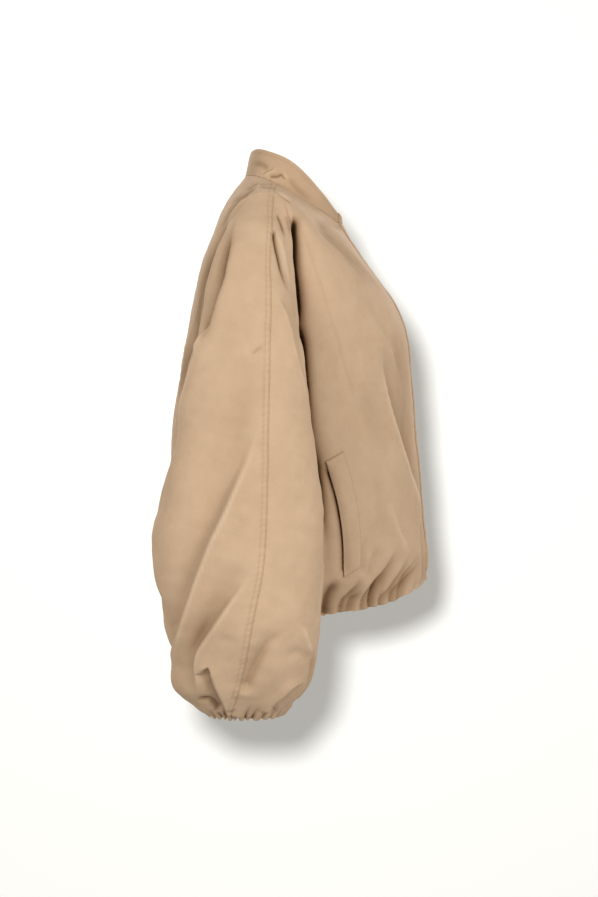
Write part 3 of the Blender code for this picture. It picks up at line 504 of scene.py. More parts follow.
BODY_CREASES = CreaseBook((
    Crease("armhole slit", OUTER, VALLEY, "-14,-48 -15.5,-60 -16.5,-82 -17,-105 -17.5,-128 -19,-156 "
        "-21,-176 -23,-198 -27,-223", 2.6, 5.2, 6, 0.1, 0.25, 1.5, painted_shade=1.4),
    Crease("slit below the armhole", OUTER, VALLEY, "-22,-205 -25,-225 -28,-250 -30,-280 -33,-312 "
        "-37,-350 -42,-380", 2.4, 3.8, 3, 0.15, 0.5, painted_shade=1.5),
    Crease("shade behind the sleeve", OUTER, VALLEY, "97,-84 106,-108 114,-136 120,-162 124,-192 126,-216 "
        "130,-236 137,-254 149,-285 158,-320 164,-345", 7, 6, 1.5, 0.2, 0.25, painted_shade=0.52),
    Crease("shade under the sleeve", OUTER, VALLEY, "-22,-190 -26,-217 -29,-260 -32,-318 -40,-375 "
        "-49,-411 -55,-450 -60,-500 -63,-560 -64,-612", 14, 9, 11, 0.12, 0.75, 0.7, painted_shade=0.95),
    Crease("shade beside the welt", OUTER, VALLEY, "-41,-380 -48,-403 -53,-439 -56,-471 -60,-503 -62,-540",
        3, 3.4, 2, 0.25, 0.5, painted_shade=0.75),
    Crease("first shoulder pleat", OUTER, VALLEY, "38,-6 29,-6.5 24,-8 18.5,-9.5 12,-11",
        1.6, 2.2, 3.5, 0.3, 0.15, painted_shade=0.55),
    Crease("second shoulder pleat", OUTER, VALLEY, "40,-2 32,0.5 25,0 17,-3", 2.2, 2.2, 3, painted_shade=0.32),
    Crease("third shoulder pleat", OUTER, VALLEY, "36,4.5 44,0.5 52,-5 62,-11",
        1.8, 2.2, 3.5, 0.25, 0.4, 1.2, painted_shade=0.35),
    Crease("fourth shoulder pleat", OUTER, VALLEY, "38,-2 46,-7 56,-14 67,-21 83,-34",
        1.8, 2.6, 4.5, 0.25, 0.4, 1.2, painted_shade=0.42),
    Crease("fifth shoulder pleat", OUTER, VALLEY, "50,-16 62,-22 74,-31",
        1.6, 2.2, 3, 0.3, 0.4, 1.2, painted_shade=0.3),
    Crease("pleat behind the sleeve", OUTER, VALLEY, "62,-22 76,-38 88,-58 96,-76",
        3, 2, 4, 0.25, 0.4, painted_shade=0.40),
    Crease("front shoulder pleat", OUTER, STEP, "12,-14 4,-20 -6,-28 -12,-36",
        2, 4, 4, 0.3, 0.4, light=0.5, painted_shade=0.3, lip=2.0),
    Crease("pressed line", OUTER, VALLEY, "-22,-58 -37,-100 -47,-129 -55,-155 -63,-186 -77,-226 -85,-258 "
        "-97,-297 -108,-334 -117,-362", 2.4, 1.8, 0.9, 0.1, 0.3, painted_shade=0.07),
    Crease("neck drape", OUTER, TROUGH, "-31,-37 -63,-73 -95,-106 -126,-161",
        10, 12, 5.0, 0.3, 0.4, painted_shade=0.20),
    Crease("second neck drape", OUTER, VALLEY, "-50,-54 -64,-68 -90,-91 -135,-147 -158,-187",
        7, 9, 4.0, 0.2, 0.4, painted_shade=0.20),
    Crease("neck hollow", OUTER, TROUGH, "-52,-53 -62,-57 -74,-60 -88,-62", 6, 5, 4.6, 0.3, 0.2, painted_shade=0.32),
    Crease("bust hollow", OUTER, TROUGH, "-112,-285 -117,-300 -129,-334 -147,-379 -164,-406",
        15, 15, 3.2, 0.35, 0.35, painted_shade=0.08),
    Crease("front ridge", OUTER, STEP, "-218,-524 -203,-471 -190,-428 -174,-385 -161,-344 -152,-307 "
        "-145,-273 -142,-236", 28, 14, 8, 0.2, 0.3, 0.8, light=1.0, painted_shade=0.34, lip=5.0, hang=0.05),
    Crease("pocket mouth", OUTER, VALLEY, "-60,-407 -71,-440 -80.8,-480 -86.8,-520 -88.8,-575",
        4.6, 4.0, 4.5, 0.12, 0.06, painted_shade=0.9),
    Crease("hem tuck by the sleeve", OUTER, VALLEY, "-82,-580 -70,-594 -62,-608 -57,-634",
        7, 8, 10, 0.4, 0.02, 1.2, painted_shade=0.70),
    Crease("first hem gather", OUTER, VALLEY, "-112,-574 -107,-591 -96,-605 -86,-616 -80,-636",
        2.5, 8, 8, 0.5, 0.02, 0.9, painted_shade=0.50),
    Crease("short hem gather", OUTER, VALLEY, "-116,-596 -109,-605 -99,-614 -90,-636",
        2.2, 6, 6, 0.5, 0.02, 0.9, painted_shade=0.40),
    Crease("second hem gather", OUTER, VALLEY, "-157,-570 -145,-579 -133,-591 -124,-602 -117,-614 "
        "-111,-634", 2.8, 9, 9, 0.5, 0.02, 0.9, painted_shade=0.50),
    Crease("fall beside the welt", OUTER, VALLEY, "-121,-515 -116,-538 -113,-562 -110,-580",
        4, 7, 4.5, 0.4, 0.3, painted_shade=0.12),
    Crease("third hem gather", OUTER, VALLEY, "-173,-532 -166,-547 -159,-562 -148,-579 -136,-596 "
        "-131,-606 -124,-632", 2.8, 9, 9, 0.5, 0.02, 0.9, painted_shade=0.45),
    Crease("fall above the gathers", OUTER, VALLEY, "-137,-532 -133,-550 -127,-567 -123,-592",
        4, 8, 5, 0.4, 0.3, painted_shade=0.12),
    Crease("fourth hem gather", OUTER, VALLEY, "-187,-550 -182,-564 -177,-576 -165,-593 -156,-605 "
        "-147,-614 -140,-630", 2.8, 8, 8, 0.5, 0.02, 0.9, painted_shade=0.45),
    Crease("fifth hem gather", OUTER, VALLEY, "-204,-553 -194,-570 -182,-585 -175,-596 -165,-608 -157,-626",
        2.5, 7, 7, 0.5, 0.02, 0.9, painted_shade=0.42),
    Crease("sixth hem gather", OUTER, VALLEY, "-208,-565 -194,-582 -182,-596 -175,-605 -168,-622",
        2.2, 6, 6, 0.5, 0.02, 0.9, painted_shade=0.40),
    Crease("second front ridge", OUTER, RIDGE, "-152,-460 -164,-500 -178,-540 -187,-566",
        9, 7, 3.4, 0.4, 0.3, light=0.5),
    Crease("front edge hollow", OUTER, TROUGH, "-166,-200 -174,-250 -182,-310 -187,-370 -192,-430 "
        "-195,-470", 9, 9, 1.0, 0.3, 0.45, painted_shade=0.20),
    Crease("soft fall by the welt", OUTER, TROUGH, "-120,-480 -124,-520 -120,-565", 9, 9, 2.6, 0.4, 0.4),
    Crease("soft fall on the front", OUTER, TROUGH, "-128,-395 -138,-440 -143,-490 -146,-530",
        7, 9, 2.6, 0.4, 0.4, painted_shade=0.09),
    Crease("side hollow", OUTER, TROUGH, "20,-300 10,-380 -14,-470", 24, 22, 7, 0.3, 0.4),
    Crease("side gather", OUTER, VALLEY, "-30,-640 -18,-590 2,-520", 12, 10, 6, 0.05, 0.7, 1.3),
    Crease("back side gather", OUTER, VALLEY, "30,-640 48,-590 66,-530", 12, 10, 6, 0.05, 0.7, 1.3),
    Crease("right drape", BACK, STEP, "-175,-165 -146,-235 -120,-310 -85,-430",
        20, 16, 13, 0.3, 0.5, light=0.5, painted_shade=0.34),
    Crease("left drape", BACK, STEP, "182,-180 158,-245 128,-325 98,-410",
        14, 18, 12, 0.3, 0.5, 1.2, light=0.6, painted_shade=0.32, lip=7.0),
    Crease("middle hollow", BACK, TROUGH, "-20,-240 -4,-330 10,-430 12,-520",
        26, 22, 11, 0.4, 0.4, painted_shade=0.13),
    Crease("left blade fold", BACK, VALLEY, "60,-150 74,-230 66,-330 46,-420",
        12, 14, 7, 0.4, 0.45, painted_shade=0.18),
    Crease("right blade fold", BACK, TROUGH, "-190,-230 -150,-330 -132,-440",
        14, 16, 8, 0.35, 0.4, painted_shade=0.15),
    Crease("left hem fold", BACK, VALLEY, "70,-625 84,-560 74,-470", 8, 12, 10, 0.02, 0.7, 1.2, painted_shade=0.3),
    Crease("right hem fold", BACK, VALLEY, "-56,-625 -72,-555 -98,-460", 11, 7, 10, 0.02, 0.7, 1.2, painted_shade=0.3),
    Crease("middle hem fold", BACK, VALLEY, "8,-625 2,-570 18,-495", 6, 9, 9, 0.02, 0.7, 1.2, painted_shade=0.3),
    Crease("short middle hem fold", BACK, VALLEY, "38,-625 34,-585 44,-535",
        5, 7, 7, 0.02, 0.7, 1.2, painted_shade=0.25),
    Crease("short right hem fold", BACK, VALLEY, "-26,-625 -30,-590 -22,-550",
        6, 5, 7, 0.02, 0.7, 1.2, painted_shade=0.25),
    Crease("outer left hem fold", BACK, STEP, "130,-625 142,-570 134,-490",
        14, 10, 10, 0.02, 0.6, 1.2, painted_shade=0.3),
    Crease("outer right hem fold", BACK, VALLEY, "-118,-625 -134,-560 -150,-480",
        8, 12, 10, 0.02, 0.7, 1.2, painted_shade=0.3),
    Crease("right front fall", FRONT, VALLEY, "-92,-200 -80,-300 -92,-400 -84,-480",
        14, 18, 6, 0.35, 0.4, light=0.3, painted_shade=0.06),
    Crease("left front fall", FRONT, TROUGH, "96,-215 82,-320 96,-430", 20, 16, 8, 0.35, 0.4, painted_shade=0.06),
    Crease("right front drag", FRONT, TROUGH, "-168,-170 -120,-240 -70,-330", 12, 14, 4, 0.3, 0.5),
    Crease("left front drag", FRONT, VALLEY, "172,-180 128,-250 84,-320", 13, 12, 6.5, 0.3, 0.5, painted_shade=0.08),
    Crease("left neck drape", FRONT, TROUGH, "44,-80 70,-120 106,-170", 10, 10, 3, 0.3, 0.4),
    Crease("right front hem fold", FRONT, VALLEY, "-48,-612 -56,-560 -44,-480",
        7, 10, 8, 0.02, 0.7, 1.2, painted_shade=0.25),
    Crease("left front hem fold", FRONT, VALLEY, "60,-612 70,-560 54,-470",
        10, 7, 8, 0.02, 0.7, 1.2, painted_shade=0.25),
    Crease("far left front hem fold", FRONT, VALLEY, "104,-616 118,-566 110,-500", 9, 8, 3, 0.02, 0.7, 1.2),
    Crease("middle front hem fold", FRONT, VALLEY, "-14,-608 -22,-566 -12,-520",
        6, 8, 5, 0.02, 0.7, 1.2, painted_shade=0.2),
))
COLLAR_CREASES = CreaseBook((
    Crease("shoulder pinch", OUTER, VALLEY, "24,13 16,13.7 11.5,13.6 6,16 3,17.5",
        1.8, 1.8, 2.8, 0.25, 0.2, painted_shade=0.65),
    Crease("pinch arm", OUTER, VALLEY, "4.5,18 2,12.7 -3,9", 1.6, 1.6, 1.8, 0.15, 0.4, painted_shade=0.5),
    Crease("pinch ridge", OUTER, RIDGE, "3,20 -2,13.5 -7,9.5", 2.2, 2.2, 1.4, 0.25, 0.4, light=0.6),
    Crease("pinch fold", OUTER, STEP, "14,30 17.5,23.5 23.5,21 30,17.5 35,15",
        2.6, 5, 2.6, light=0.6, painted_shade=0.35, lip=1.5, hang=0.1),
    Crease("back dent", OUTER, TROUGH, "50,30 41.5,34 35.5,33 30,29 25,22", 4.2, 4.2, 2.2, painted_shade=0.3),
    Crease("front roll", OUTER, TROUGH, "-5,13 -11,5 -18,-4 -31,-16 -48,-28",
        4.5, 4.5, 1.8, 0.2, 0.5, painted_shade=0.22),
), drop=-3.0)


# ---------------------------------------------------------------- gathers
@dataclass(frozen=True)
class Gathering:
    """Cloth drawn in by elastic.

    Attributes:
        count: Long gathers all round.
        extra: Short gathers between them.
        depth: Depth of a long gather at the edge.
        longest: How far the longest one runs up the cloth.
        span: Length of cloth for a whole step of `down`.
        lean: How far a gather leans to the front as it runs up, in gathers a metre.
        bulge: How far the cloth stands over the elastic between gathers.
        seed: Seed of the uneven spacing, length and depth.
        grip: How much flatter the gathers lie at the elastic.
        painted_shade: How strong the painted shade is down in them.
    """

    count: int
    extra: int
    depth: float
    longest: float
    span: float
    lean: float
    bulge: float
    seed: int
    grip: float
    painted_shade: float

    def phase(self, turn: Points) -> Points:
        """Gathers passed at each turn, unevenly spaced but whole all round."""
        radians = np.radians(turn)
        return self.count * turn / 360 + 0.22 * np.sin(3 * radians) + 0.13 * np.sin(7 * radians + 0.7)

    def relief(self, turn: Points, down: Points) -> tuple[Points, Points, Points]:
        """Height of the gathered cloth, how far it hangs over its edge and its shade.

        Args:
            turn: Degrees round the form.
            down: Places down the form, 1 at the elastic.

        Returns:
            Height along the normals and reach past the edge, both in metres, and the painted
            shade down in the gathers, from 0 to 1.
        """
        chance = np.random.default_rng(self.seed)
        up = (1 - down) * self.span
        place = self.phase(turn) + self.lean * up * np.sin(np.radians(turn))
        grown = bell(up / (0.55 * self.longest))
        height = self.bulge * grown
        crest, shade = np.zeros_like(height), np.zeros_like(height)
        held = 1 - self.grip * np.exp(-up / (4 * MM))
        long_places = np.arange(self.count) + chance.uniform(-0.24, 0.24, self.count)
        between = chance.choice(self.count, self.extra, replace=False) + 0.5
        short_places = between + chance.uniform(-0.15, 0.15, self.extra)
        for number, centre in enumerate(np.concatenate([long_places, short_places])):
            is_long = number < self.count
            share = chance.uniform(0.3, 1.0) ** 1.3 if is_long else chance.uniform(0.12, 0.3)
            length = self.longest * share
            deep = self.depth * (chance.uniform(0.65, 1.1) if is_long else chance.uniform(0.45, 0.75))
            aside = (place - centre + self.count / 2) % self.count - self.count / 2
            width = (0.2 if is_long else 0.13) + 0.34 * np.clip(up / length, 0, 1)
            near = np.abs(aside) / width
            if not np.any((near < 3) & (up < length)):
                continue
            cut = bell(near, 1.35) * (1 - smooth_step(up / length)) ** 0.8
            height -= deep * cut * held
            crest -= cut
            # Painted shade down in each gather.
            shade += bell(1.5 * near, 1.3) * (1 - smooth_step(up / length)) * deep / self.depth
        reach = (0.35 + np.clip(crest, -1, 0)) * 1.3 * MM * np.exp(-up / (5 * MM))
        return height, reach, np.clip(self.painted_shade * shade, 0, 1)


HEM = Gathering(46, 26, 0.0080, 0.078, 0.70, 17.0, 0.0042, 11, 0.45, 0.50)
CUFF = Gathering(34, 12, 0.0075, 0.044, 0.80, 0.0, 0.0036, 23, 0.30, 0.85)


# ---------------------------------------------------------------- forms
def wander(points: Points, seed: int, wavelength: float, height: float) -> Points:
    """Slow uneven swells of a cloth that never lies quite flat.

    Args:
        points: Points of the form, coordinates last.
        seed: Seed of the swells.
        wavelength: Their usual length.
        height: Their usual height.

    Returns:
        A height for each point.
    """
    chance = np.random.default_rng(seed)
    total = np.zeros(points.shape[:-1])
    for _ in range(9):
        way = unit(chance.normal(size=3)) * 2 * math.pi / (wavelength * chance.uniform(0.6, 1.7))
        total += np.sin(points @ way + chance.uniform(0, 2 * math.pi))
    return total * height / 3


def form_normals(form: Callable[[Points, Points], Points], turn: Points, down: Points) -> Points:
    """Outward normals of an oval form, from small steps both ways.

    Args:
        form: Function of turn and down that gives points.
        turn: Degrees round the form.
        down: Places down the form.

    Returns:
        Unit vectors.
    """
    round_way = form(turn + 0.4, down) - form(turn - 0.4, down)
    down_way = form(turn, down + 0.002) - form(turn, down - 0.002)
    return unit(np.cross(down_way, round_way))


@dataclass
class BodyForm:
    """The outer face of the jacket's body.

    Attributes:
        lap: How far each front reaches past the centre front.
        lap_ramp: Width over which the left front rises on to the right one.
        lap_height: How far it rises.
        armhole_top: Where the armhole starts, down the body.
        armhole_bottom: Where it ends.
        armhole_front: Degrees that it opens towards the front.
        armhole_back: Degrees that it opens towards the back.
        tuck_depth: How far the front of the armhole is drawn in under the sleeve.
        tuck_width: Width over which it is.
        tuck_top: Height where that starts.
        tuck_end: Height where it ends.
        back_tuck: How far the armhole's back is drawn in, as a share of its front.
        placed_turn: Middle of the hem whose gathers are placed one by one, in degrees.
        placed_half: Half the width of that part, in degrees.
        placed_ease: How much weaker the even gathers are there.
        centre_turn: Degrees over which they are weaker at the centre front.
        centre_ease: How much weaker they are there.
        hem_hold: How much flatter the creases lie at the elastic.
        hem_draw: How far the elastic draws the hem of the fronts up.
        hem_draw_turn: Degrees from the centre front where that starts to fade.
        neck_span: Length of cloth for a whole step of `down` at the neck.
        neck_swell: How far the fronts stand out below the neck seam.
        neck_swell_turn: Degrees over which that fades.
        neck_swell_drop: Length over which it fades.
    """

    lap: float = 0.022
    lap_ramp: float = 0.020
    lap_height: float = 0.0023
    armhole_top: float = 0.17
    armhole_bottom: float = 0.56
    armhole_front: float = 17.0
    armhole_back: float = 37.0
    tuck_depth: float = 0.016
    tuck_width: float = 0.011
    tuck_top: float = -0.044
    tuck_end: float = -0.36
    back_tuck: float = 0.3
    placed_turn: float = -50.0
    placed_half: float = 46.0
    placed_ease: float = 0.5
    centre_turn: float = 9.0
    centre_ease: float = 0.4
    hem_hold: float = 0.6
    hem_draw: float = 0.007
    hem_draw_turn: float = 30.0
    neck_span: float = 0.42
    neck_swell: float = 0.0028
    neck_swell_turn: float = 32.0
    neck_swell_drop: float = 0.016

    def lap_turn(self, width: Points | float, down: Points) -> Points:
        """Turn of a line that lies `width` past the centre front."""
        return np.degrees(np.arcsin(width / BODY.at("side_x", down)))

    def lap_rise(self, turn: Points, down: Points, layer: float) -> Points:
        """How far the upper layer of the lap lies over the lower one."""
        edge, ramp = self.lap_turn(self.lap, down), self.lap_turn(self.lap + self.lap_ramp, down)
        return layer * self.lap_height * (1 - smooth_step((turn - edge * 1.15) / (ramp - edge)))

    def armhole(self, around: Points) -> tuple[Points, Points]:
        """Places round the armhole.

        Args:
            around: Degrees, 0 at the shoulder and 90 in front.

        Returns:
            Turn and down of each.
        """
        middle = (self.armhole_top + self.armhole_bottom) / 2
        half = (self.armhole_bottom - self.armhole_top) / 2
        sine = np.sin(np.radians(around))
        opening = np.where(sine > 0, self.armhole_front, self.armhole_back)
        return 90.0 - opening * sine, middle - half * np.cos(np.radians(around))

    def armhole_distance(self, points: Points) -> Points:
        """Distance of each point from the nearer armhole line.

        Args:
            points: Points of the plain body, coordinates last.

        Returns:
            The distances.
        """
        around = np.linspace(0, 360, 241)
        turn, down = self.armhole(around)
        flat = points.reshape(-1, 3)
        nearest = np.full(len(flat), np.inf)
        for side in (-1, 1):
            line = BODY.oval(turn * side, down)
            for start in range(0, len(flat), 4000):
                part = flat[start : start + 4000]
                gap = np.linalg.norm(part[:, None] - line[None], axis=2).min(axis=1)
                nearest[start : start + 4000] = np.minimum(nearest[start : start + 4000], gap)
        return nearest.reshape(points.shape[:-1])

    def surface(self, turn: Points, down: Points, layer: float = 0.0) -> tuple[Points, Points]:
        """Creased outer face.

        Args:
            turn: Degrees from the centre front, + to the wearer's left.
            down: Places from the neck seam to the hem.
            layer: 1 for the front that laps over.

        Returns:
            Points, and at each the crest wear with painted highlight, less the painted shade of the
            creases, the armhole tuck and the hem gathers.
        """
        plain = BODY.oval(turn, down)
        normals = form_normals(BODY.oval, turn, down)
        relief = BODY_CREASES.relief(plain, normals, (-1, 1))
        rise, reach, shade = HEM.relief(turn, down)
        placed = smooth_step((self.placed_half - np.abs(turn - self.placed_turn)) / 8)
        weaker = 1 - self.placed_ease * placed - self.centre_ease * bell(turn / self.centre_turn)
        held = 1 - self.hem_hold * np.exp(-(1 - down) * HEM.span / (6 * MM))
        away = relief.height * held + rise * weaker + self.lap_rise(turn, down, layer)
        away += wander(plain, 3, 0.085, 0.0011) + wander(plain, 4, 0.030, 0.00030)
        tuck, tuck_painted_shade = self.armhole_tuck(plain, turn)
        away += tuck + self.neck_relief(turn, down)
        points = plain + normals * away[..., None] + relief.push
        front = 1 - smooth_step((np.abs(turn) - self.hem_draw_turn) / 16)
        reach = reach - self.hem_draw * front * smooth_step((down - 0.90) / 0.10)
        below = BODY.oval(turn, np.ones_like(down)) - BODY.oval(turn, np.full_like(down, 0.97))
        points += unit(below) * reach[..., None]
        # The painted shade of the armhole tuck and the hem gathers is taken off here.
        return points, relief.wear_and_painted_light - tuck_painted_shade - shade * weaker

    def armhole_tuck(self, plain: Points, turn: Points) -> tuple[Points, Points]:
        """How the sewing of the sleeves draws the cloth in.

        Args:
            plain: Points of the plain body, coordinates last.
            turn: Their degrees from the centre front.

        Returns:
            Height along the normals in metres, and the painted shade in the tuck, from 0 to 1.
        """
        seam, high = self.armhole_distance(plain), plain[..., 2]
        window = smooth_step((self.tuck_top - high) / 0.035) * smooth_step((high - self.tuck_end) / 0.14)
        ahead, behind = window * (np.abs(turn) < 90), window * (np.abs(turn) > 90)
        height = -self.tuck_depth * bell(seam / self.tuck_width, 1.5) * (ahead + self.back_tuck * behind)
        height += groove(seam, 5, 0.9, 4) - groove(seam, 0, 0.9, 1.7)
        # Painted shade in the slit in front of the armhole, and fainter behind it.
        core = (2.0 + 6.0 * smooth_step((-0.05 - high) / 0.13)) * MM
        shade = ahead * bell(seam / core, 3) + 0.35 * behind * bell(seam / (0.8 * self.tuck_width))
        return height, shade

    def neck_relief(self, turn: Points, down: Points) -> Points:
        """How the sewing of the collar moves the cloth below it.

        Args:
            turn: Degrees from the centre front.
            down: Places from the neck seam to the hem.

        Returns:
            Height along the normals, in metres.
        """
        below = down * self.neck_span
        swell = self.neck_swell * bell(turn / self.neck_swell_turn) * bell(below / self.neck_swell_drop)
        waves = np.sin(2 * math.pi * turn / 7.3 + 2 * np.sin(np.radians(turn * 5)))
        return swell - groove(below, 0, 0.8, 1.6) + 0.15 * MM * np.exp(-below / (9 * MM)) * waves


@dataclass
class SleeveForm:
    """The outer face of one sleeve, all the way round.

    Attributes:
        body: The body that it is set into.
        side: -1 for the wearer's right, +1 for the left.
        plain_rows: Rows of the grid above the gathers.
        cuff_rows: Rows of the grid in the gathers.
        columns: Columns of each half.
        cuff_start: Where the gathers start, down the sleeve.
        end_flattening: How much flatter the gathers lie at the cuff's front and back.
        cap_blend: Share of the sleeve over which its creases start.
        cuff_hold: How much flatter the creases lie at the elastic.
        cuff_draw: How far the cloth is drawn in over the cuff.
        cuff_draw_place: Distance of that from the edge.
        cuff_draw_width: Length over which it is.
    """

    body: BodyForm
    side: int
    plain_rows: int = 196
    cuff_rows: int = 66
    columns: int = 100
    cuff_start: float = 0.87
    end_flattening: float = 0.70
    cap_blend: float = 0.05
    cuff_hold: float = 0.5
    cuff_draw: float = 0.0038
    cuff_draw_place: float = 0.030
    cuff_draw_width: float = 0.025

    def ring(self, row: int, around: Points) -> Points:
        """One ring of the table.

        Args:
            row: Its row.
            around: Degrees from the overarm seam.

        Returns:
            Its points.
        """
        part = {name: SLEEVE.column(name)[row] for name in SLEEVE.columns.split()}
        angle = np.radians(around + part["seam_turn"] * (1 + np.cos(np.radians(around))) / 2)
        centre = [(part["outer_x"] + part["inner_x"]) / 2, (part["front_y"] + part["back_y"]) / 2]
        middle_z = (part["outer_z"] + part["inner_z"]) / 2
        x = centre[0] + (part["outer_x"] - centre[0]) * np.cos(angle)
        y = centre[1] + (part["front_y"] - centre[1]) * np.sin(angle)
        z = middle_z + (part["outer_z"] - middle_z) * np.cos(angle)
        return np.stack([-self.side * x, y, z], axis=-1)

    def build(self) -> tuple[Points, Points, Points]:
        """The whole creased sleeve on one grid.

        Returns:
            Points, crest wear with painted highlight less painted shade (also of the cuff gathers), and the
            turn of each column; its first and last columns are the overarm seam and its middle column is
            the underarm seam.
        """
        half = graded(self.columns, 2.2, 0.6, 0.05) * 180
        around = np.concatenate([half, 360 - half[::-1][1:]])
        upper = graded(self.plain_rows, 1.2, 0.0, 0.05) * self.cuff_start
        lower = graded(self.cuff_rows, 0.0, 1.0, 0.5)[1:] * (1 - self.cuff_start)
        downs = np.concatenate([upper, self.cuff_start + lower])
        turn, down = self.body.armhole(around)
        rings = [self.body.surface(turn * self.side, down)[0]]
        rings += [self.ring(row, around) for row in range(len(SLEEVE.rows))]
        knots = np.concatenate([[0.0], SLEEVE.column("down")])
        plain = smooth_through(knots, np.stack(rings), downs)
        normals = closed_normals(plain) * -self.side
        turns = np.broadcast_to(around, plain.shape[:2])
        places = np.broadcast_to(downs[:, None], plain.shape[:2])
        started = smooth_step(places / self.cap_blend)
        relief = SLEEVE_CREASES.relief(plain, normals, (self.side,))
        rise, reach, shade = CUFF.relief(turns * self.side, places)
        flatter = 1 - self.end_flattening * np.sin(np.radians(turns)) ** 4
        up = (1 - places) * CUFF.span
        held = 1 - self.cuff_hold * np.exp(-up / (5 * MM))
        away = relief.height * held + rise * flatter
        away += wander(plain, 8 + self.side, 0.080, 0.0011) + wander(plain, 12, 0.028, 0.00028)
        away -= self.cuff_draw * bell((up - self.cuff_draw_place) / self.cuff_draw_width)
        points = plain + normals * (away * started)[..., None] + relief.push * started[..., None]
        way = unit(plain[-1] - plain[-4])
        points += way[None] * reach[..., None]
        # The painted shade of the cuff gathers is taken off here.
        return points, (relief.wear_and_painted_light - shade * flatter) * started, around


def closed_normals(points: Points) -> Points:
    """Normals of a grid whose first and last columns are the same place.

    Args:
        points: The grid, rows down and columns round.

    Returns:
        Unit vectors, down the rows crossed with round the columns.
    """
    wrapped = np.concatenate([points[:, -2:-1], points, points[:, 1:2]], axis=1)
    round_way = np.gradient(wrapped, axis=1)[:, 1:-1]
    return unit(np.cross(np.gradient(points, axis=0), round_way))


# ---------------------------------------------------------------- cloth shells
@dataclass
class ClothShell:
    """One cut piece as a thin closed shell.

    Attributes:
        name: The piece's name.
        outer: Outer face, rows and columns of points.
        wear_and_painted_light: Crest wear and painted highlight at each point, and painted shade where it is
            below 0.
        hand: 1 where rows crossed with columns point outwards, -1 where they point inwards.
        thickness: Thickness of the cloth.
        sewn: How much the sewing puckers it at each point.
    """

    name: str
    outer: Points
    wear_and_painted_light: Points
    hand: float
    thickness: float = 0.0011
    sewn: Points | None = None

    def normals(self) -> Points:
        """Outward normals of the outer face."""
        down_way, round_way = np.gradient(self.outer, axis=0), np.gradient(self.outer, axis=1)
        return unit(np.cross(down_way, round_way)) * self.hand

    def faces(self) -> Points:
        """Quads of the closed shell.

        Returns:
            Those of the outer face, the inner face and the rim between them, a row each.
        """
        rows, columns = self.outer.shape[:2]
        index = np.arange(rows * columns).reshape(rows, columns)
        total = rows * columns
        a, b, c, d = index[:-1, :-1], index[1:, :-1], index[1:, 1:], index[:-1, 1:]
        outer = np.stack([a, b, c, d], axis=-1).reshape(-1, 4)
        if self.hand < 0:
            outer = outer[:, ::-1]
        loop = np.concatenate([index[:-1, 0], index[-1, :-1], index[:0:-1, -1], index[0, :0:-1]])
        after = np.roll(loop, -1)
        rim = np.stack([loop, loop + total, after + total, after], axis=-1)
        if self.hand < 0:
            rim = rim[:, ::-1]
        return np.concatenate([outer, outer[:, ::-1] + total, rim])

    def lengths(self) -> Points:
        """Flat places of the points.

        Returns:
            Metres across the piece and down it, for each point.
        """
        across = np.linalg.norm(np.diff(self.outer, axis=1), axis=2)
        downward = np.linalg.norm(np.diff(self.outer, axis=0), axis=2)
        u = np.concatenate([np.zeros((len(across), 1)), np.cumsum(across, axis=1)], axis=1)
        u -= u[:, u.shape[1] // 2 : u.shape[1] // 2 + 1]
        mean = np.concatenate([[0], np.cumsum(downward.mean(axis=1))])
        return np.stack([u, np.broadcast_to(mean[:, None], u.shape)], axis=-1)

    def build(self, material: bpy.types.Material) -> bpy.types.Object:
        """The finished piece as a mesh object in the scene.

        Args:
            material: Its cloth.

        Returns:
            The object, at the origin and unturned.
        """
        inner = self.outer - self.normals() * self.thickness
        points = np.concatenate([self.outer.reshape(-1, 3), inner.reshape(-1, 3)])
        faces = self.faces()
        mesh = bpy.data.meshes.new(self.name)
        mesh.from_pydata(points.tolist(), [], faces.tolist())
        mesh.shade_smooth()
        corners = np.zeros(len(mesh.loops), np.int32)
        mesh.loops.foreach_get("vertex_index", corners)
        flat = self.lengths().reshape(-1, 2)
        layer = mesh.uv_layers.new(name="cloth")
        layer.data.foreach_set("uv", np.concatenate([flat, flat])[corners].astype(np.float32).ravel())
        painted_light_and_wear = mesh.attributes.new("wear_and_painted_light", "FLOAT", "POINT")
        painted_light_and_wear.data.foreach_set("value", np.tile(self.wear_and_painted_light.ravel(), 2).astype(np.float32))
        if self.sewn is not None:
            drawn = mesh.attributes.new("sewn", "FLOAT", "POINT")
            drawn.data.foreach_set("value", np.tile(self.sewn.ravel(), 2).astype(np.float32))
        self.crisp_rim(mesh)
        mesh.materials.append(material)
        piece = bpy.data.objects.new(self.name, mesh)
        bpy.context.scene.collection.objects.link(piece)
        return piece

    def crisp_rim(self, mesh: bpy.types.Mesh) -> None:
        """Mark the edges of the rim sharp, so that its narrow faces shade on their own.

        Args:
            mesh: The piece's mesh.
        """
        rows, columns = self.outer.shape[:2]
        total = rows * columns
        index = np.arange(total).reshape(rows, columns)
        edge = np.zeros(2 * total, bool)
        for line in (index[0], index[-1], index[:, 0], index[:, -1]):
            edge[line] = edge[line + total] = True
        ends = np.zeros(len(mesh.edges) * 2, np.int32)
        mesh.edges.foreach_get("vertices", ends)
        ends = ends.reshape(-1, 2)
        sharp = edge[ends[:, 0]] & edge[ends[:, 1]] & (np.abs(ends[:, 0] - ends[:, 1]) != total)
        mark = mesh.attributes.new("sharp_edge", "BOOLEAN", "EDGE")
        mark.data.foreach_set("value", sharp)


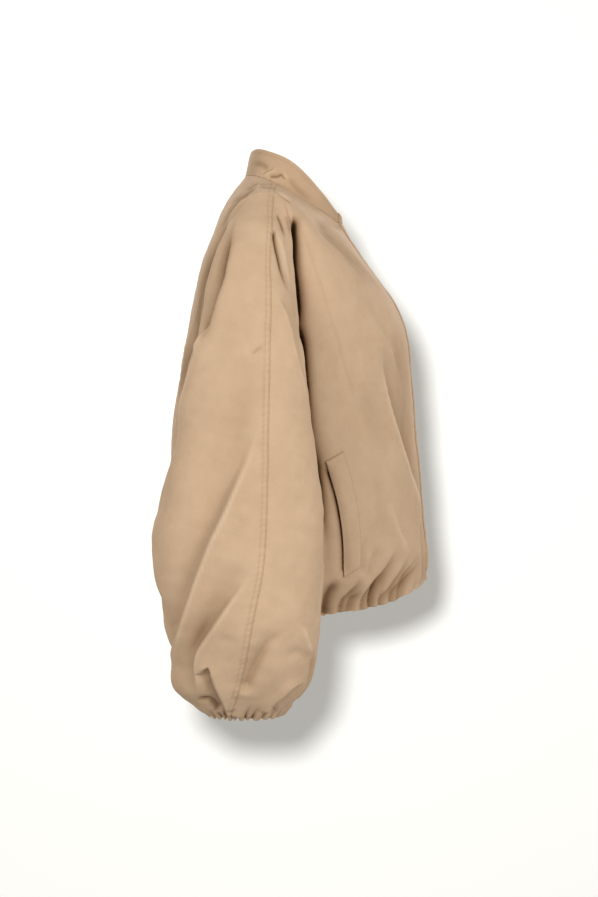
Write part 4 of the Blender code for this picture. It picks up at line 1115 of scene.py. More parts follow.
# ---------------------------------------------------------------- shader groups and finishes
class NodeSheet:
    """A small helper that lays out and links the nodes of one tree."""

    def __init__(self, tree: bpy.types.NodeTree) -> None:
        """Keep the tree that the nodes go into."""
        self.tree = tree

    def node(self, kind: str, **values: object) -> bpy.types.Node:
        """Add a node and set its properties.

        Args:
            kind: Blender's name of the node type.
            **values: Properties of the node.

        Returns:
            The node.
        """
        made = self.tree.nodes.new(kind)
        for name, value in values.items():
            setattr(made, name, value)
        return made

    def group(self, tree: bpy.types.NodeTree, **inputs: object) -> bpy.types.Node:
        """Add a node group with its inputs joined.

        Args:
            tree: The group.
            **inputs: Socket or plain value by input name.

        Returns:
            The node.
        """
        made = self.node("ShaderNodeGroup", node_tree=tree)
        for name, value in inputs.items():
            self.join(value, made.inputs[name])
        return made

    def join(self, source: object, target: Socket) -> None:
        """Feed a target socket.

        Args:
            source: A socket to link, or a plain value to set.
            target: The socket that it goes into.
        """
        if isinstance(source, bpy.types.NodeSocket):
            self.tree.links.new(source, target)
        else:
            target.default_value = source

    def math(self, operation: str, *inputs: Socket | float) -> Socket:
        """A Math node on one to three inputs.

        Args:
            operation: Its operation.
            *inputs: Sockets or numbers.

        Returns:
            Its output.
        """
        made = self.node("ShaderNodeMath", operation=operation)
        for index, value in enumerate(inputs):
            self.join(value, made.inputs[index])
        return made.outputs[0]

    def noise(self, vector: Socket, scale: float, detail: float, roughness: float = 0.5) -> Socket:
        """A Noise Texture.

        Args:
            vector: Its coordinates.
            scale: Its scale.
            detail: Its detail.
            roughness: How strong the detail is.

        Returns:
            Its value.
        """
        made = self.node("ShaderNodeTexNoise")
        self.join(vector, made.inputs["Vector"])
        self.join(scale, made.inputs["Scale"])
        made.inputs["Detail"].default_value = detail
        made.inputs["Roughness"].default_value = roughness
        return made.outputs["Fac"]

    def mix(self, factor: Socket, first: object, second: object) -> Socket:
        """Mix two colours.

        Args:
            factor: Share of the second one.
            first: Socket or colour at 0.
            second: Socket or colour at 1.

        Returns:
            The mixed colour.
        """
        made = self.node("ShaderNodeMix", data_type="RGBA")
        self.join(factor, made.inputs["Factor"])
        self.join(first, made.inputs["A"])
        self.join(second, made.inputs["B"])
        return made.outputs["Result"]


def new_group(
    name: str, inputs: dict[str, str], outputs: dict[str, str]
) -> tuple[bpy.types.NodeTree, NodeSheet, dict[str, Socket], dict[str, Socket]]:
    """Start a shader node group.

    Args:
        name: Its name.
        inputs: Socket type by input name.
        outputs: Socket type by output name.

    Returns:
        The tree, its sheet, its input sockets by name and its output sockets by name.
    """
    tree = bpy.data.node_groups.new(name, "ShaderNodeTree")
    for label, kind in inputs.items():
        tree.interface.new_socket(label, in_out="INPUT", socket_type="NodeSocket" + kind)
    for label, kind in outputs.items():
        tree.interface.new_socket(label, in_out="OUTPUT", socket_type="NodeSocket" + kind)
    sheet = NodeSheet(tree)
    source, sink = sheet.node("NodeGroupInput"), sheet.node("NodeGroupOutput")
    given = {socket.name: socket for socket in source.outputs if socket.name}
    wanted = {socket.name: socket for socket in sink.inputs if socket.name}
    return tree, sheet, given, wanted


class ClothGroups:
    """Shader groups that the cloths and the thread share, each built once."""

    def __init__(self) -> None:
        """Build the groups."""
        self.twill = self.build_twill()
        self.mottle = self.build_mottle()
        self.nap = self.build_nap()
        self.puckers = self.build_puckers()

    def build_twill(self) -> bpy.types.NodeTree:
        """Fine diagonal weave on the cloth's own flat coordinates.

        Returns:
            The group.
        """
        tree, sheet, given, wanted = new_group(
            "fine_twill", {"Cloth": "Vector", "Pitch": "Float"}, {"Height": "Float", "Shade": "Float"}
        )
        parts = sheet.node("ShaderNodeSeparateXYZ")
        sheet.join(given["Cloth"], parts.inputs[0])
        turns = sheet.math("DIVIDE", 2 * math.pi, given["Pitch"])
        u = sheet.math("MULTIPLY", parts.outputs[0], turns)
        v = sheet.math("MULTIPLY", parts.outputs[1], turns)
        diagonal = sheet.math("SINE", sheet.math("ADD", u, v))
        yarn = sheet.math("SINE", sheet.math("SUBTRACT", sheet.math("MULTIPLY", u, 2.0), v))
        weave = sheet.math("MULTIPLY_ADD", yarn, 0.35, diagonal)
        sheet.join(sheet.math("MULTIPLY_ADD", weave, 0.37, 0.5), wanted["Height"])
        stretched = sheet.node("ShaderNodeMapping", vector_type="POINT")
        sheet.join(given["Cloth"], stretched.inputs["Vector"])
        stretched.inputs["Scale"].default_value = (900.0, 60.0, 1.0)
        slub = sheet.noise(stretched.outputs[0], 1.0, 2.0)
        uneven = sheet.math("SUBTRACT", slub, 0.5)
        sheet.join(sheet.math("MULTIPLY_ADD", uneven, 0.8, 0.5), wanted["Shade"])
        return tree

    def build_mottle(self) -> bpy.types.NodeTree:
        """Slow colour changes of washed, peached cotton, with crest wear, painted highlight and painted
        shade.

        Returns:
            The group.
        """
        tree, sheet, given, wanted = new_group(
            "washed_mottle",
            {"Place": "Vector", "Shade": "Float", "Rubbed": "Float"}
            | dict.fromkeys(("Base", "Deep", "Pale", "Hollow", "Fold"), "Color"),
            {"Color": "Color"},
        )
        wide = sheet.noise(given["Place"], 11.0, 2.0)
        cloudy = sheet.noise(given["Place"], 46.0, 3.0, 0.6)
        fine = sheet.noise(given["Place"], 420.0, 2.0, 0.6)
        sum_up = sheet.math("MULTIPLY_ADD", wide, 0.45, sheet.math("MULTIPLY", cloudy, 0.55))
        spread = sheet.node("ShaderNodeMapRange")
        sheet.join(sum_up, spread.inputs["Value"])
        spread.inputs["From Min"].default_value = 0.34
        spread.inputs["From Max"].default_value = 0.66
        deep = sheet.mix(spread.outputs[0], given["Deep"], given["Base"])
        toned = sheet.mix(sheet.math("MULTIPLY_ADD", fine, 0.6, 0.25), deep, given["Base"])
        # Above 0 the input lightens crests for wear and painted highlight; below 0 it is painted shade, first
        # towards the shade colour, then towards the near-black one.
        crest = sheet.math("MAXIMUM", given["Rubbed"], 0.0)
        fold = sheet.math("MAXIMUM", sheet.math("MULTIPLY", given["Rubbed"], -1.0), 0.0)
        pale = sheet.math("MULTIPLY_ADD", given["Shade"], 0.16, sheet.math("MULTIPLY", crest, 0.62))
        lighter = sheet.mix(pale, toned, given["Pale"])
        folded = sheet.math("MINIMUM", sheet.math("MULTIPLY", fold, 1.35), 1.0)
        shaded = sheet.mix(folded, lighter, given["Hollow"])
        lowest = sheet.math("MAXIMUM", sheet.math("MULTIPLY_ADD", fold, 2.5, -1.5), 0.0)
        sheet.join(sheet.mix(lowest, shaded, given["Fold"]), wanted["Color"])
        return tree

    def build_nap(self) -> bpy.types.NodeTree:
        """Brushed nap and faint crumple, as a height.

        Returns:
            The group.
        """
        tree, sheet, given, wanted = new_group(
            "peached_nap",
            {"Place": "Vector", "Weave": "Float", "Crumple": "Float"},
            {"Height": "Float", "Roughness": "Float"},
        )
        fuzz = sheet.noise(given["Place"], 2600.0, 2.0, 0.7)
        crumple = sheet.noise(given["Place"], 75.0, 2.0, 0.45)
        small = sheet.noise(given["Place"], 210.0, 2.0, 0.5)
        folds = sheet.math("MULTIPLY_ADD", small, 0.3, crumple)
        woven = sheet.math("MULTIPLY", given["Weave"], 0.05)
        height = sheet.math("MULTIPLY_ADD", folds, given["Crumple"], woven)
        sheet.join(sheet.math("MULTIPLY_ADD", fuzz, 0.05, height), wanted["Height"])
        sheet.join(sheet.math("MULTIPLY_ADD", fuzz, 0.12, 0.78), wanted["Roughness"])
        return tree

    def build_puckers(self) -> bpy.types.NodeTree:
        """Small puckers that the sewing draws up beside a seam, as a height and a shade.

        Returns:
            The group.
        """
        tree, sheet, given, wanted = new_group(
            "seam_puckers",
            {"Cloth": "Vector", "Sewn": "Float", "Pitch": "Float", "Across": "Float"},
            {"Height": "Float", "Shade": "Float"},
        )
        parts = sheet.node("ShaderNodeSeparateXYZ")
        sheet.join(given["Cloth"], parts.inputs[0])
        uneven = sheet.math("MULTIPLY", sheet.noise(given["Cloth"], 30.0, 2.0), 11.0)
        run = sheet.math("MULTIPLY_ADD", parts.outputs[0], given["Across"], parts.outputs[1])
        turns = sheet.math("DIVIDE", 2 * math.pi, given["Pitch"])
        wave = sheet.math("SINE", sheet.math("MULTIPLY_ADD", run, turns, uneven))
        held = sheet.math("MULTIPLY", wave, given["Sewn"])
        sheet.join(held, wanted["Height"])
        low = sheet.math("MAXIMUM", sheet.math("MULTIPLY", held, -1.0), 0.0)
        sheet.join(sheet.math("MULTIPLY", low, 0.05), wanted["Shade"])
        return tree


@dataclass(frozen=True)
class PeachedCotton:
    """A peached cotton finish.

    Attributes:
        name: The finish.
        base: Usual colour, linear.
        deep: Colour of its darker clouds.
        pale: Colour of its paler slubs, of crest wear and of the painted highlight.
        hollow: Colour of the painted shade down in a fold.
        fold: Colour of the painted shade in the deepest folds and gaps.
        crumple: Height of its faint crumple, in millimetres.
        sheen: How much the nap catches light at its edges.
        pitch: Width of a line of its weave.
        pucker_pitch: Length of a pucker beside a seam.
        pucker_across: How much the puckers also follow one another across the cloth.
    """

    name: str
    base: tuple[float, float, float] = (0.600, 0.418, 0.270)
    deep: tuple[float, float, float] = (0.460, 0.306, 0.182)
    pale: tuple[float, float, float] = (0.720, 0.545, 0.375)
    # Painted shade colours: down in folds, and nearly black in the deepest folds and gaps.
    hollow: tuple[float, float, float] = (0.225, 0.122, 0.055)
    fold: tuple[float, float, float] = (0.024, 0.010, 0.003)
    crumple: float = 0.46
    sheen: float = 0.07
    pitch: float = 0.0009
    pucker_pitch: float = 0.0078
    pucker_across: float = 0.2

    def material(self, groups: ClothGroups) -> bpy.types.Material:
        """Build the material.

        Args:
            groups: The shared shader groups.

        Returns:
            The material.
        """
        made = bpy.data.materials.new(self.name)
        made.use_nodes = True
        sheet = NodeSheet(made.node_tree)
        shader = made.node_tree.nodes["Principled BSDF"]
        places = sheet.node("ShaderNodeTexCoord")
        cloth = sheet.node("ShaderNodeUVMap", uv_map="cloth")
        # The mesh attribute holds crest wear with painted highlight, and painted shade below 0; the puckers'
        # shade is painted shade as well.
        wear_and_painted_light = sheet.node("ShaderNodeAttribute", attribute_name="wear_and_painted_light")
        sewn = sheet.node("ShaderNodeAttribute", attribute_name="sewn")
        puckers = sheet.group(
            groups.puckers,
            Cloth=cloth.outputs["UV"],
            Sewn=sewn.outputs["Fac"],
            Pitch=self.pucker_pitch,
            Across=self.pucker_across,
        )
        painted_light_and_wear = sheet.math("SUBTRACT", wear_and_painted_light.outputs["Fac"], puckers.outputs["Shade"])
        twill = sheet.group(groups.twill, Cloth=cloth.outputs["UV"], Pitch=self.pitch)
        mottle = sheet.group(
            groups.mottle,
            Place=places.outputs["Object"],
            Shade=twill.outputs["Shade"],
            Rubbed=painted_light_and_wear,
            Base=(*self.base, 1.0),
            Deep=(*self.deep, 1.0),
            Pale=(*self.pale, 1.0),
            Hollow=(*self.hollow, 1.0),
            Fold=(*self.fold, 1.0),
        )
        nap = sheet.group(
            groups.nap,
            Place=places.outputs["Object"],
            Weave=twill.outputs["Height"],
            Crumple=self.crumple,
        )
        bump = sheet.node("ShaderNodeBump")
        bump.inputs["Distance"].default_value = MM
        bump.inputs["Strength"].default_value = 0.8
        height = sheet.math("MULTIPLY_ADD", puckers.outputs["Height"], 0.11, nap.outputs["Height"])
        sheet.join(height, bump.inputs["Height"])
        sheet.join(mottle.outputs["Color"], shader.inputs["Base Color"])
        sheet.join(nap.outputs["Roughness"], shader.inputs["Roughness"])
        sheet.join(bump.outputs["Normal"], shader.inputs["Normal"])
        shader.inputs["Specular IOR Level"].default_value = 0.12
        shader.inputs["Sheen Weight"].default_value = self.sheen
        shader.inputs["Sheen Roughness"].default_value = 0.4
        shader.inputs["Sheen Tint"].default_value = (1.0, 0.92, 0.82, 1.0)
        return made


@dataclass(frozen=True)
class SewingThread:
    """Matt sewing thread, a little deeper than the cloth.

    Attributes:
        name: The finish.
        base: Usual colour, linear.
        pale: Colour of its paler strands.
    """

    name: str = "sewing_thread"
    base: tuple[float, float, float] = (0.390, 0.258, 0.150)
    pale: tuple[float, float, float] = (0.500, 0.350, 0.220)

    def material(self) -> bpy.types.Material:
        """Build the material.

        Returns:
            The material.
        """
        made = bpy.data.materials.new(self.name)
        made.use_nodes = True
        sheet = NodeSheet(made.node_tree)
        shader = made.node_tree.nodes["Principled BSDF"]
        places = sheet.node("ShaderNodeTexCoord")
        twist = sheet.noise(places.outputs["Object"], 1500.0, 2.0)
        sheet.join(sheet.mix(twist, (*self.base, 1.0), (*self.pale, 1.0)), shader.inputs["Base Color"])
        bump = sheet.node("ShaderNodeBump")
        bump.inputs["Distance"].default_value = 0.1 * MM
        sheet.join(twist, bump.inputs["Height"])
        sheet.join(bump.outputs["Normal"], shader.inputs["Normal"])
        shader.inputs["Roughness"].default_value = 0.7
        return made


# ---------------------------------------------------------------- stitching
class Stitcher:
    """Lays rows of thread stitches along lines, by one Geometry Nodes tree."""

    def __init__(
        self, thread: bpy.types.Material, pitch: float = 0.0034, width: float = 0.00055, seed: int = 7
    ) -> None:
        """Build the tree.

        Args:
            thread: Material of the stitches.
            pitch: Length of a stitch and the hole after it.
            width: Thickness of the thread.
            seed: Seed of the small differences between stitches.
        """
        self.thread, self.pitch, self.width, self.seed = thread, pitch, width, seed
        self.tree = bpy.data.node_groups.new("stitch_rows", "GeometryNodeTree")
        face = self.tree.interface
        face.new_socket("Lines", in_out="INPUT", socket_type="NodeSocketGeometry")
        self.inputs = {
            label: face.new_socket(label, in_out="INPUT", socket_type=kind).identifier
            for label, kind in (
                ("Stitch Pitch", "NodeSocketFloat"),
                ("Thread Width", "NodeSocketFloat"),
                ("Seed", "NodeSocketInt"),
                ("Thread", "NodeSocketMaterial"),
            )
        }
        face.new_socket("Stitches", in_out="OUTPUT", socket_type="NodeSocketGeometry")
        self.lay_out()

    def lay_out(self) -> None:
        """Put the nodes of the tree in place and link them."""
        sheet = NodeSheet(self.tree)
        given, wanted = sheet.node("NodeGroupInput"), sheet.node("NodeGroupOutput")
        curve = sheet.node("GeometryNodeMeshToCurve")
        sheet.join(given.outputs["Lines"], curve.inputs[0])
        dots = sheet.node("GeometryNodeCurveToPoints", mode="LENGTH")
        sheet.join(curve.outputs[0], dots.inputs["Curve"])
        sheet.join(given.outputs["Stitch Pitch"], dots.inputs["Length"])
        bead = sheet.node("GeometryNodeMeshUVSphere")
        bead.inputs["Segments"].default_value = 6
        bead.inputs["Rings"].default_value = 4
        bead.inputs["Radius"].default_value = 0.5
        uneven = sheet.node("FunctionNodeRandomValue", data_type="FLOAT")
        uneven.inputs[2].default_value = 0.74
        uneven.inputs[3].default_value = 0.86
        sheet.join(given.outputs["Seed"], uneven.inputs["Seed"])
        long = sheet.math("MULTIPLY", given.outputs["Stitch Pitch"], uneven.outputs[1])
        size = sheet.node("ShaderNodeCombineXYZ")
        across = given.outputs["Thread Width"]
        for index, value in enumerate((across, across, long)):
            sheet.join(value, size.inputs[index])
        placed = sheet.node("GeometryNodeInstanceOnPoints")
        sheet.join(dots.outputs["Points"], placed.inputs["Points"])
        sheet.join(bead.outputs["Mesh"], placed.inputs["Instance"])
        sheet.join(dots.outputs["Rotation"], placed.inputs["Rotation"])
        sheet.join(size.outputs[0], placed.inputs["Scale"])
        real = sheet.node("GeometryNodeRealizeInstances")
        sheet.join(placed.outputs[0], real.inputs[0])
        dressed = sheet.node("GeometryNodeSetMaterial")
        sheet.join(real.outputs[0], dressed.inputs["Geometry"])
        sheet.join(given.outputs["Thread"], dressed.inputs["Material"])
        sheet.join(dressed.outputs[0], wanted.inputs[0])

    def sew(self, name: str, lines: list[Points]) -> bpy.types.Object:
        """Stitches along some lines, as one plain mesh.

        Args:
            name: Name of the piece.
            lines: The lines, each an array of points.

        Returns:
            The stitches.
        """
        points, edges = [], []
        for line in lines:
            start = len(points)
            points += [tuple(point) for point in line.tolist()]
            edges += [(start + index, start + index + 1) for index in range(len(line) - 1)]
        rail = bpy.data.meshes.new(name + "_lines")
        rail.from_pydata(points, edges, [])
        holder = bpy.data.objects.new(name + "_lines", rail)
        bpy.context.scene.collection.objects.link(holder)
        modifier = holder.modifiers.new("stitches", "NODES")
        modifier.node_group = self.tree
        modifier[self.inputs["Stitch Pitch"]] = self.pitch
        modifier[self.inputs["Thread Width"]] = self.width
        modifier[self.inputs["Seed"]] = self.seed
        modifier[self.inputs["Thread"]] = self.thread
        graph = bpy.context.evaluated_depsgraph_get()
        mesh = bpy.data.meshes.new_from_object(holder.evaluated_get(graph))
        mesh.name = name
        mesh.shade_smooth()
        bpy.data.objects.remove(holder)
        bpy.data.meshes.remove(rail)
        piece = bpy.data.objects.new(name, mesh)
        bpy.context.scene.collection.objects.link(piece)
        return piece


# ---------------------------------------------------------------- sewn details of a grid
@dataclass(frozen=True)
class FelledSeam:
    """A felled seam beside the edge of a grid: a raised strip between two rows of stitches.

    Attributes:
        width: Width of the strip.
        rise: How far it stands over the cloth.
        rows: Distances of the stitch rows from the seam.
        groove: Depth of the cloth drawn in under the stitches.
        pucker: Height of the puckers that the sewing leaves.
    """

    width: float = 0.0078
    rise: float = 0.0006
    rows: tuple[float, float] = (0.0013, 0.0066)
    groove: float = 0.00040
    pucker: float = 0.00030

    def relief(self, away: Points, along: Points) -> Points:
        """Height of the strip, its grooves and its puckers.

        Args:
            away: Distance of each point from the seam.
            along: Distance of each point along the seam.

        Returns:
            A height for each point.
        """
        strip = self.rise * (1 - smooth_step((away - self.width) / (1.3 * MM)))
        rows = sum(bell((away - row) / (0.75 * MM)) for row in self.rows)
        return strip - self.groove * rows + self.pucker * self.waves(along) * bell(away / (11 * MM))

    def waves(self, along: Points) -> Points:
        """Uneven puckers along the seam, from -1 to 1."""
        swell = 0.4 + 0.6 * np.sin(along / 0.047) ** 2
        return np.sin(along / 0.0026 + 3 * np.sin(along / 0.031)) * swell

    def drawn(self, away: Points) -> Points:
        """How much the sewing puckers the cloth near the seam, from 0 to 1."""
        return bell(np.maximum(away - self.width, 0) / (3 * MM))

    def lines(self, away: Points) -> Points:
        """Painted shade along the seam's folded edge and along the edge of the strip, from 0 to 1."""
        seam = 0.11 * bell(away / (0.9 * MM))
        return seam + 0.07 * bell((away - self.width - 0.2 * MM) / (0.8 * MM))


def distances_from(grid: Points, column: int) -> Points:
    """Distance of each point of a grid from one of its side columns, along its row.

    Args:
        grid: Points, rows and columns.
        column: 0 for the first column or -1 for the last.

    Returns:
        The distances.
    """
    steps = np.linalg.norm(np.diff(grid, axis=1), axis=2)
    run = np.concatenate([np.zeros((len(grid), 1)), np.cumsum(steps, axis=1)], axis=1)
    return run if column == 0 else run[:, -1:] - run


def line_at(grid: Points, distance: Points, wanted: float, lift: Points, rows: slice) -> Points:
    """The line on a grid at a set distance from its seam.

    Args:
        grid: Points, rows and columns.
        distance: Distance of each point from the seam.
        wanted: The distance to follow.
        lift: Vectors that raise the line off the cloth, for each point.
        rows: The rows to follow.

    Returns:
        One point a row.
    """
    found = []
    for row in range(*rows.indices(len(grid))):
        order = np.argsort(distance[row])
        places = distance[row][order]
        raised = (grid[row] + lift[row])[order]
        found.append([np.interp(wanted, places, raised[:, axis]) for axis in range(3)])
    return np.array(found)


# ---------------------------------------------------------------- sub-assemblies
@dataclass(frozen=True)
class CutSize:
    """Flat size of what shows of a piece, with its gathers let out, in metres.

    Attributes:
        width: Its width.
        length: Its length.
        area: Its true area, in square metres.
    """

    width: float
    length: float
    area: float


@dataclass
class Tailor:
    """What every sub-assembly needs to finish its pieces.

    Attributes:
        stitcher: Sews the stitch rows.
        body_cloth: Cloth of fronts and back.
        sleeve_cloth: Cloth of the sleeves.
        collar_cloth: Cloth of the collar.
        welt_cloth: Cloth of the welts.
    """

    stitcher: Stitcher
    body_cloth: bpy.types.Material
    sleeve_cloth: bpy.types.Material
    collar_cloth: bpy.types.Material
    welt_cloth: bpy.types.Material

    def hang(
        self,
        piece: bpy.types.Object,
        node: str,
        slot: str,
        cut: CutSize,
        held: str,
        rests_on: list[str],
        sewn: list[bpy.types.Object],
    ) -> None:
        """Attach a piece of cloth and its stitches to the root, hide the solid that it replaces and log its
        area.

        Args:
            piece: The cloth.
            node: The solid that it replaces.
            slot: Not used.
            cut: Not used.
            held: Not used.
            rests_on: Not used.
            sewn: The stitches on it.
        """
        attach(piece, "root")
        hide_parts(node)
        for stitches in sewn:
            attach(stitches, "root")
        faces = piece.data.polygons
        area = sum(face.area for face in faces) / 2
        log.info("%s: %.4f m2, %d faces, %d pieces of stitches", piece.name, area, len(faces), len(sewn))


@dataclass
class JacketBody:
    """Fronts and back.

    Attributes:
        form: The body's form.
        tailor: Finishes the pieces.
        front_columns: Columns of a front's grid.
        back_columns: Columns of the back's grid.
        yoke_rows: Rows above the armholes.
        armhole_rows: Rows beside them.
        skirt_rows: Rows below them, down to the gathers.
        hem_rows: Rows in the gathers.
        gather_start: Where the gathers start, down the body.
        shoulder: The felled shoulder seam.
        edge_row: Distance of the edge stitching from a front's edge, in millimetres.
        lap_row: Distance of the stitching that holds the fly, in millimetres.
        front_cut: Flat size of a front.
        back_cut: Flat size of the back.
    """

    form: BodyForm
    tailor: Tailor
    front_columns: int = 110
    back_columns: int = 150
    yoke_rows: int = 64
    armhole_rows: int = 78
    skirt_rows: int = 54
    hem_rows: int = 66
    gather_start: float = 0.86
    shoulder: FelledSeam = FelledSeam()
    edge_row: float = 3.5
    lap_row: float = 32.0
    front_cut: CutSize = CutSize(0.41, 0.66, 0.218)
    back_cut: CutSize = CutSize(0.65, 0.75, 0.372)

    def row_places(self) -> tuple[Points, Points, slice]:
        """Rows that the fronts and the back share, so that their seams meet.

        Returns:
            Down of every row, the armhole's places in degrees and which rows lie beside it.
        """
        around = np.linspace(0, 180, self.armhole_rows + 1)
        beside = self.form.armhole(around)[1]
        yoke = graded(self.yoke_rows, 0.8, 0.0, 0.1)[:-1] * self.form.armhole_top
        skirt = np.linspace(self.form.armhole_bottom, self.gather_start, self.skirt_rows + 1)[1:]
        hem = self.gather_start + graded(self.hem_rows, 0.0, 1.0, 0.5)[1:] * (1 - self.gather_start)
        downs = np.concatenate([yoke, beside, skirt, hem])
        return downs, around, slice(len(yoke), len(yoke) + len(beside))

    def front(self, word: str, side: int) -> None:
        """One front, from its lapped edge to the shoulder, armhole and side seam.

        Args:
            word: The side's name.
            side: -1 for the wearer's right, +1 for the left.
        """
        downs, around, hole = self.row_places()
        border = np.full(len(downs), 90.0)
        border[hole] = self.form.armhole(around)[0]
        edge = -self.form.lap_turn(self.form.lap, downs)
        share = graded(self.front_columns, 1.0, 1.2, 0.06)[None]
        turns = edge[:, None] + (90 - edge[:, None]) * share - (90 - border[:, None]) * share**3
        down = np.broadcast_to(downs[:, None], turns.shape)
        grid, wear_and_painted_light = self.form.surface(turns * side, down, 1.0 if side > 0 else 0.0)
        shell = ClothShell(f"front_{word}_cloth", grid, wear_and_painted_light, float(side))
        normals = shell.normals()
        distance = distances_from(grid, 0)
        drawn = groove(distance, self.edge_row, 0.35, 0.8) + self.side_seam(grid, downs, -1)
        if side > 0:
            drawn = drawn + groove(distance, 0, 1.2, 1.8)
        shell.outer = grid - normals * drawn[..., None]
        shell.sewn = 0.6 * bell(distance / (6 * MM))
        piece = shell.build(self.tailor.body_cloth)
        lift = normals * THREAD_LIFT
        rows = [line_at(shell.outer, distance, self.edge_row * MM, lift, slice(0, len(downs)))]
        if side > 0:
            rows.append(line_at(shell.outer, distance, self.lap_row * MM, lift, slice(0, len(downs) - 8)))
        stitches = self.tailor.stitcher.sew(f"front_{word}_edge_stitches", rows)
        rests = ["back_cloth", "collar_cloth"]
        self.tailor.hang(
            piece, f"front_{word}", "body_cloth", self.front_cut, "gathered", rests, [stitches]
        )

    def side_seam(self, grid: Points, downs: Points, column: int) -> Points:
        """How far the cloth is drawn in along a side seam, below the armhole.

        Args:
            grid: Points, rows and columns.
            downs: Place of each row.
            column: The side column that is the seam, 0 or -1.

        Returns:
            A depth for each point.
        """
        below = smooth_step((downs - self.form.armhole_bottom) / 0.01)[:, None]
        return groove(distances_from(grid, column), 0, 0.8, 1.6) * below

    def back(self) -> None:
        """The one-piece back, from side to side."""
        downs, around, hole = self.row_places()
        border = np.full(len(downs), 90.0)
        border[hole] = self.form.armhole(360 - around)[0]
        share = graded(self.back_columns, 1.6, 1.6, 0.035)[None] * 2 - 1
        turns = 180 + 90 * share - (border[:, None] - 90) * share * np.abs(share)
        down = np.broadcast_to(downs[:, None], turns.shape)
        grid, wear_and_painted_light = self.form.surface(turns, down)
        shell = ClothShell("back_cloth", grid, wear_and_painted_light, 1.0)
        normals = shell.normals()
        along = downs[:, None] * 0.72
        top = 1 - smooth_step((downs[:, None] - self.form.armhole_top + 0.004) / 0.004)
        away, shell.sewn = np.zeros(grid.shape[:2]), np.zeros(grid.shape[:2])
        for column in (0, -1):
            distance = distances_from(grid, column)
            away += self.shoulder.relief(distance, along) * top - self.side_seam(grid, downs, column)
            shell.sewn += self.shoulder.drawn(distance) * top
            # Painted shade along the shoulder seams.
            shell.wear_and_painted_light = shell.wear_and_painted_light - self.shoulder.lines(distance) * top
        shell.outer = grid + normals * away[..., None]
        piece = shell.build(self.tailor.body_cloth)
        lift, yoke = normals * THREAD_LIFT, slice(1, hole.start)
        lines = [
            line_at(shell.outer, distances_from(grid, column), row, lift, yoke)
            for column in (0, -1)
            for row in self.shoulder.rows
        ]
        stitches = self.tailor.stitcher.sew("shoulder_stitches", lines)
        rests = ["collar_cloth"]
        self.tailor.hang(piece, "back", "body_cloth", self.back_cut, "gathered", rests, [stitches])


@dataclass
class Collar:
    """The stand collar, of two layers with a topstitched edge.

    Attributes:
        form: The body's form, whose neck seam it is sewn to.
        tailor: Finishes the piece.
        wall: Thickness of its two layers.
        swell: How far its middle stands out.
        columns: Columns of its grid.
        rows: Rows of its grid.
        stitch_drop: Distance of the topstitching from its edge.
        shoulder_drop: How far its edge falls over the shoulders.
        shoulder_turn: Degrees from the centre back where that is.
        shoulder_width: Degrees over which it is.
        front_rise: How far its edge stands up at the front.
        front_width: Degrees over which it does.
        cut: Its flat size.
    """

    form: BodyForm
    tailor: Tailor
    wall: float = 0.0019
    swell: float = 0.0012
    columns: int = 380
    rows: int = 36
    stitch_drop: float = 0.0062
    shoulder_drop: float = 0.0044
    shoulder_turn: float = 66.0
    shoulder_width: float = 24.0
    front_rise: float = 0.0052
    front_width: float = 34.0
    cut: CutSize = CutSize(0.56, 0.034, 0.0186)

    def build(self) -> None:
        """Build the collar, from its left front end round the back to its right one."""
        edge = float(self.form.lap_turn(self.form.lap, np.array([0.0]))[0])
        turns = np.linspace(-edge, 360 + edge, self.columns + 1)
        turn = np.broadcast_to(turns, (self.rows + 1, self.columns + 1))
        up = np.broadcast_to(1 - graded(self.rows, 1.0, 0.4, 0.2)[:, None], turn.shape)
        left = (turn < 180).astype(float)
        zero = np.zeros_like(turn)
        bottom, _ = self.form.surface(np.where(turn < 180, turn, turn - 360), zero, 0.0)
        lap = self.form.lap_rise(turn, zero, 1.0) * left
        outward = np.stack([np.sin(np.radians(turn)), -np.cos(np.radians(turn)), zero], axis=-1)
        bottom = bottom + form_normals(BODY.oval, turn, zero) * (lap + 0.5 * MM)[..., None]
        top = COLLAR_TOP.oval(turn, zero) + outward * (lap + self.swell * np.sin(math.pi * up))[..., None]
        from_back = np.abs(turn - 180)
        top[..., 2] -= self.shoulder_drop * bell((from_back - self.shoulder_turn) / self.shoulder_width)
        top[..., 2] += self.front_rise * bell((180 - from_back) / self.front_width)
        plain = bottom * (1 - up[..., None]) + top * up[..., None]
        normals = unit(np.cross(np.gradient(plain, axis=0), np.gradient(plain, axis=1)))
        relief = COLLAR_CREASES.relief(plain, normals, (-1, 1))
        height = np.linalg.norm(top - bottom, axis=-1)
        below = (1 - up) * height
        held = smooth_step(up / 0.12)
        away = relief.height * held + wander(plain, 21, 0.05, 0.0005) * held
        away -= 0.45 * MM * bell((below - self.stitch_drop) / (0.8 * MM))
        away -= groove(below, 0, 0.6, 0.9)
        grid = plain + normals * away[..., None]
        # The lighter band along the folded top edge is a painted highlight.
        wear_and_painted_light = relief.wear_and_painted_light * held + 0.25 * bell(below / (1.5 * MM))
        shell = ClothShell("collar_cloth", grid, wear_and_painted_light, 1.0, self.wall)
        shell.sewn = 0.6 * bell(below / (9 * MM)) + 0.5 * bell((height - below) / (5 * MM))
        piece = shell.build(self.tailor.collar_cloth)
        raised = grid + normals * THREAD_LIFT
        line = [
            [np.interp(self.stitch_drop, below[:, column], raised[:, column, axis]) for axis in range(3)]
            for column in range(2, self.columns - 1)
        ]
        stitches = self.tailor.stitcher.sew("collar_edge_stitches", [np.array(line)])
        self.tailor.hang(piece, "collar", "collar_cloth", self.cut, "hung", ["back_cloth"], [stitches])


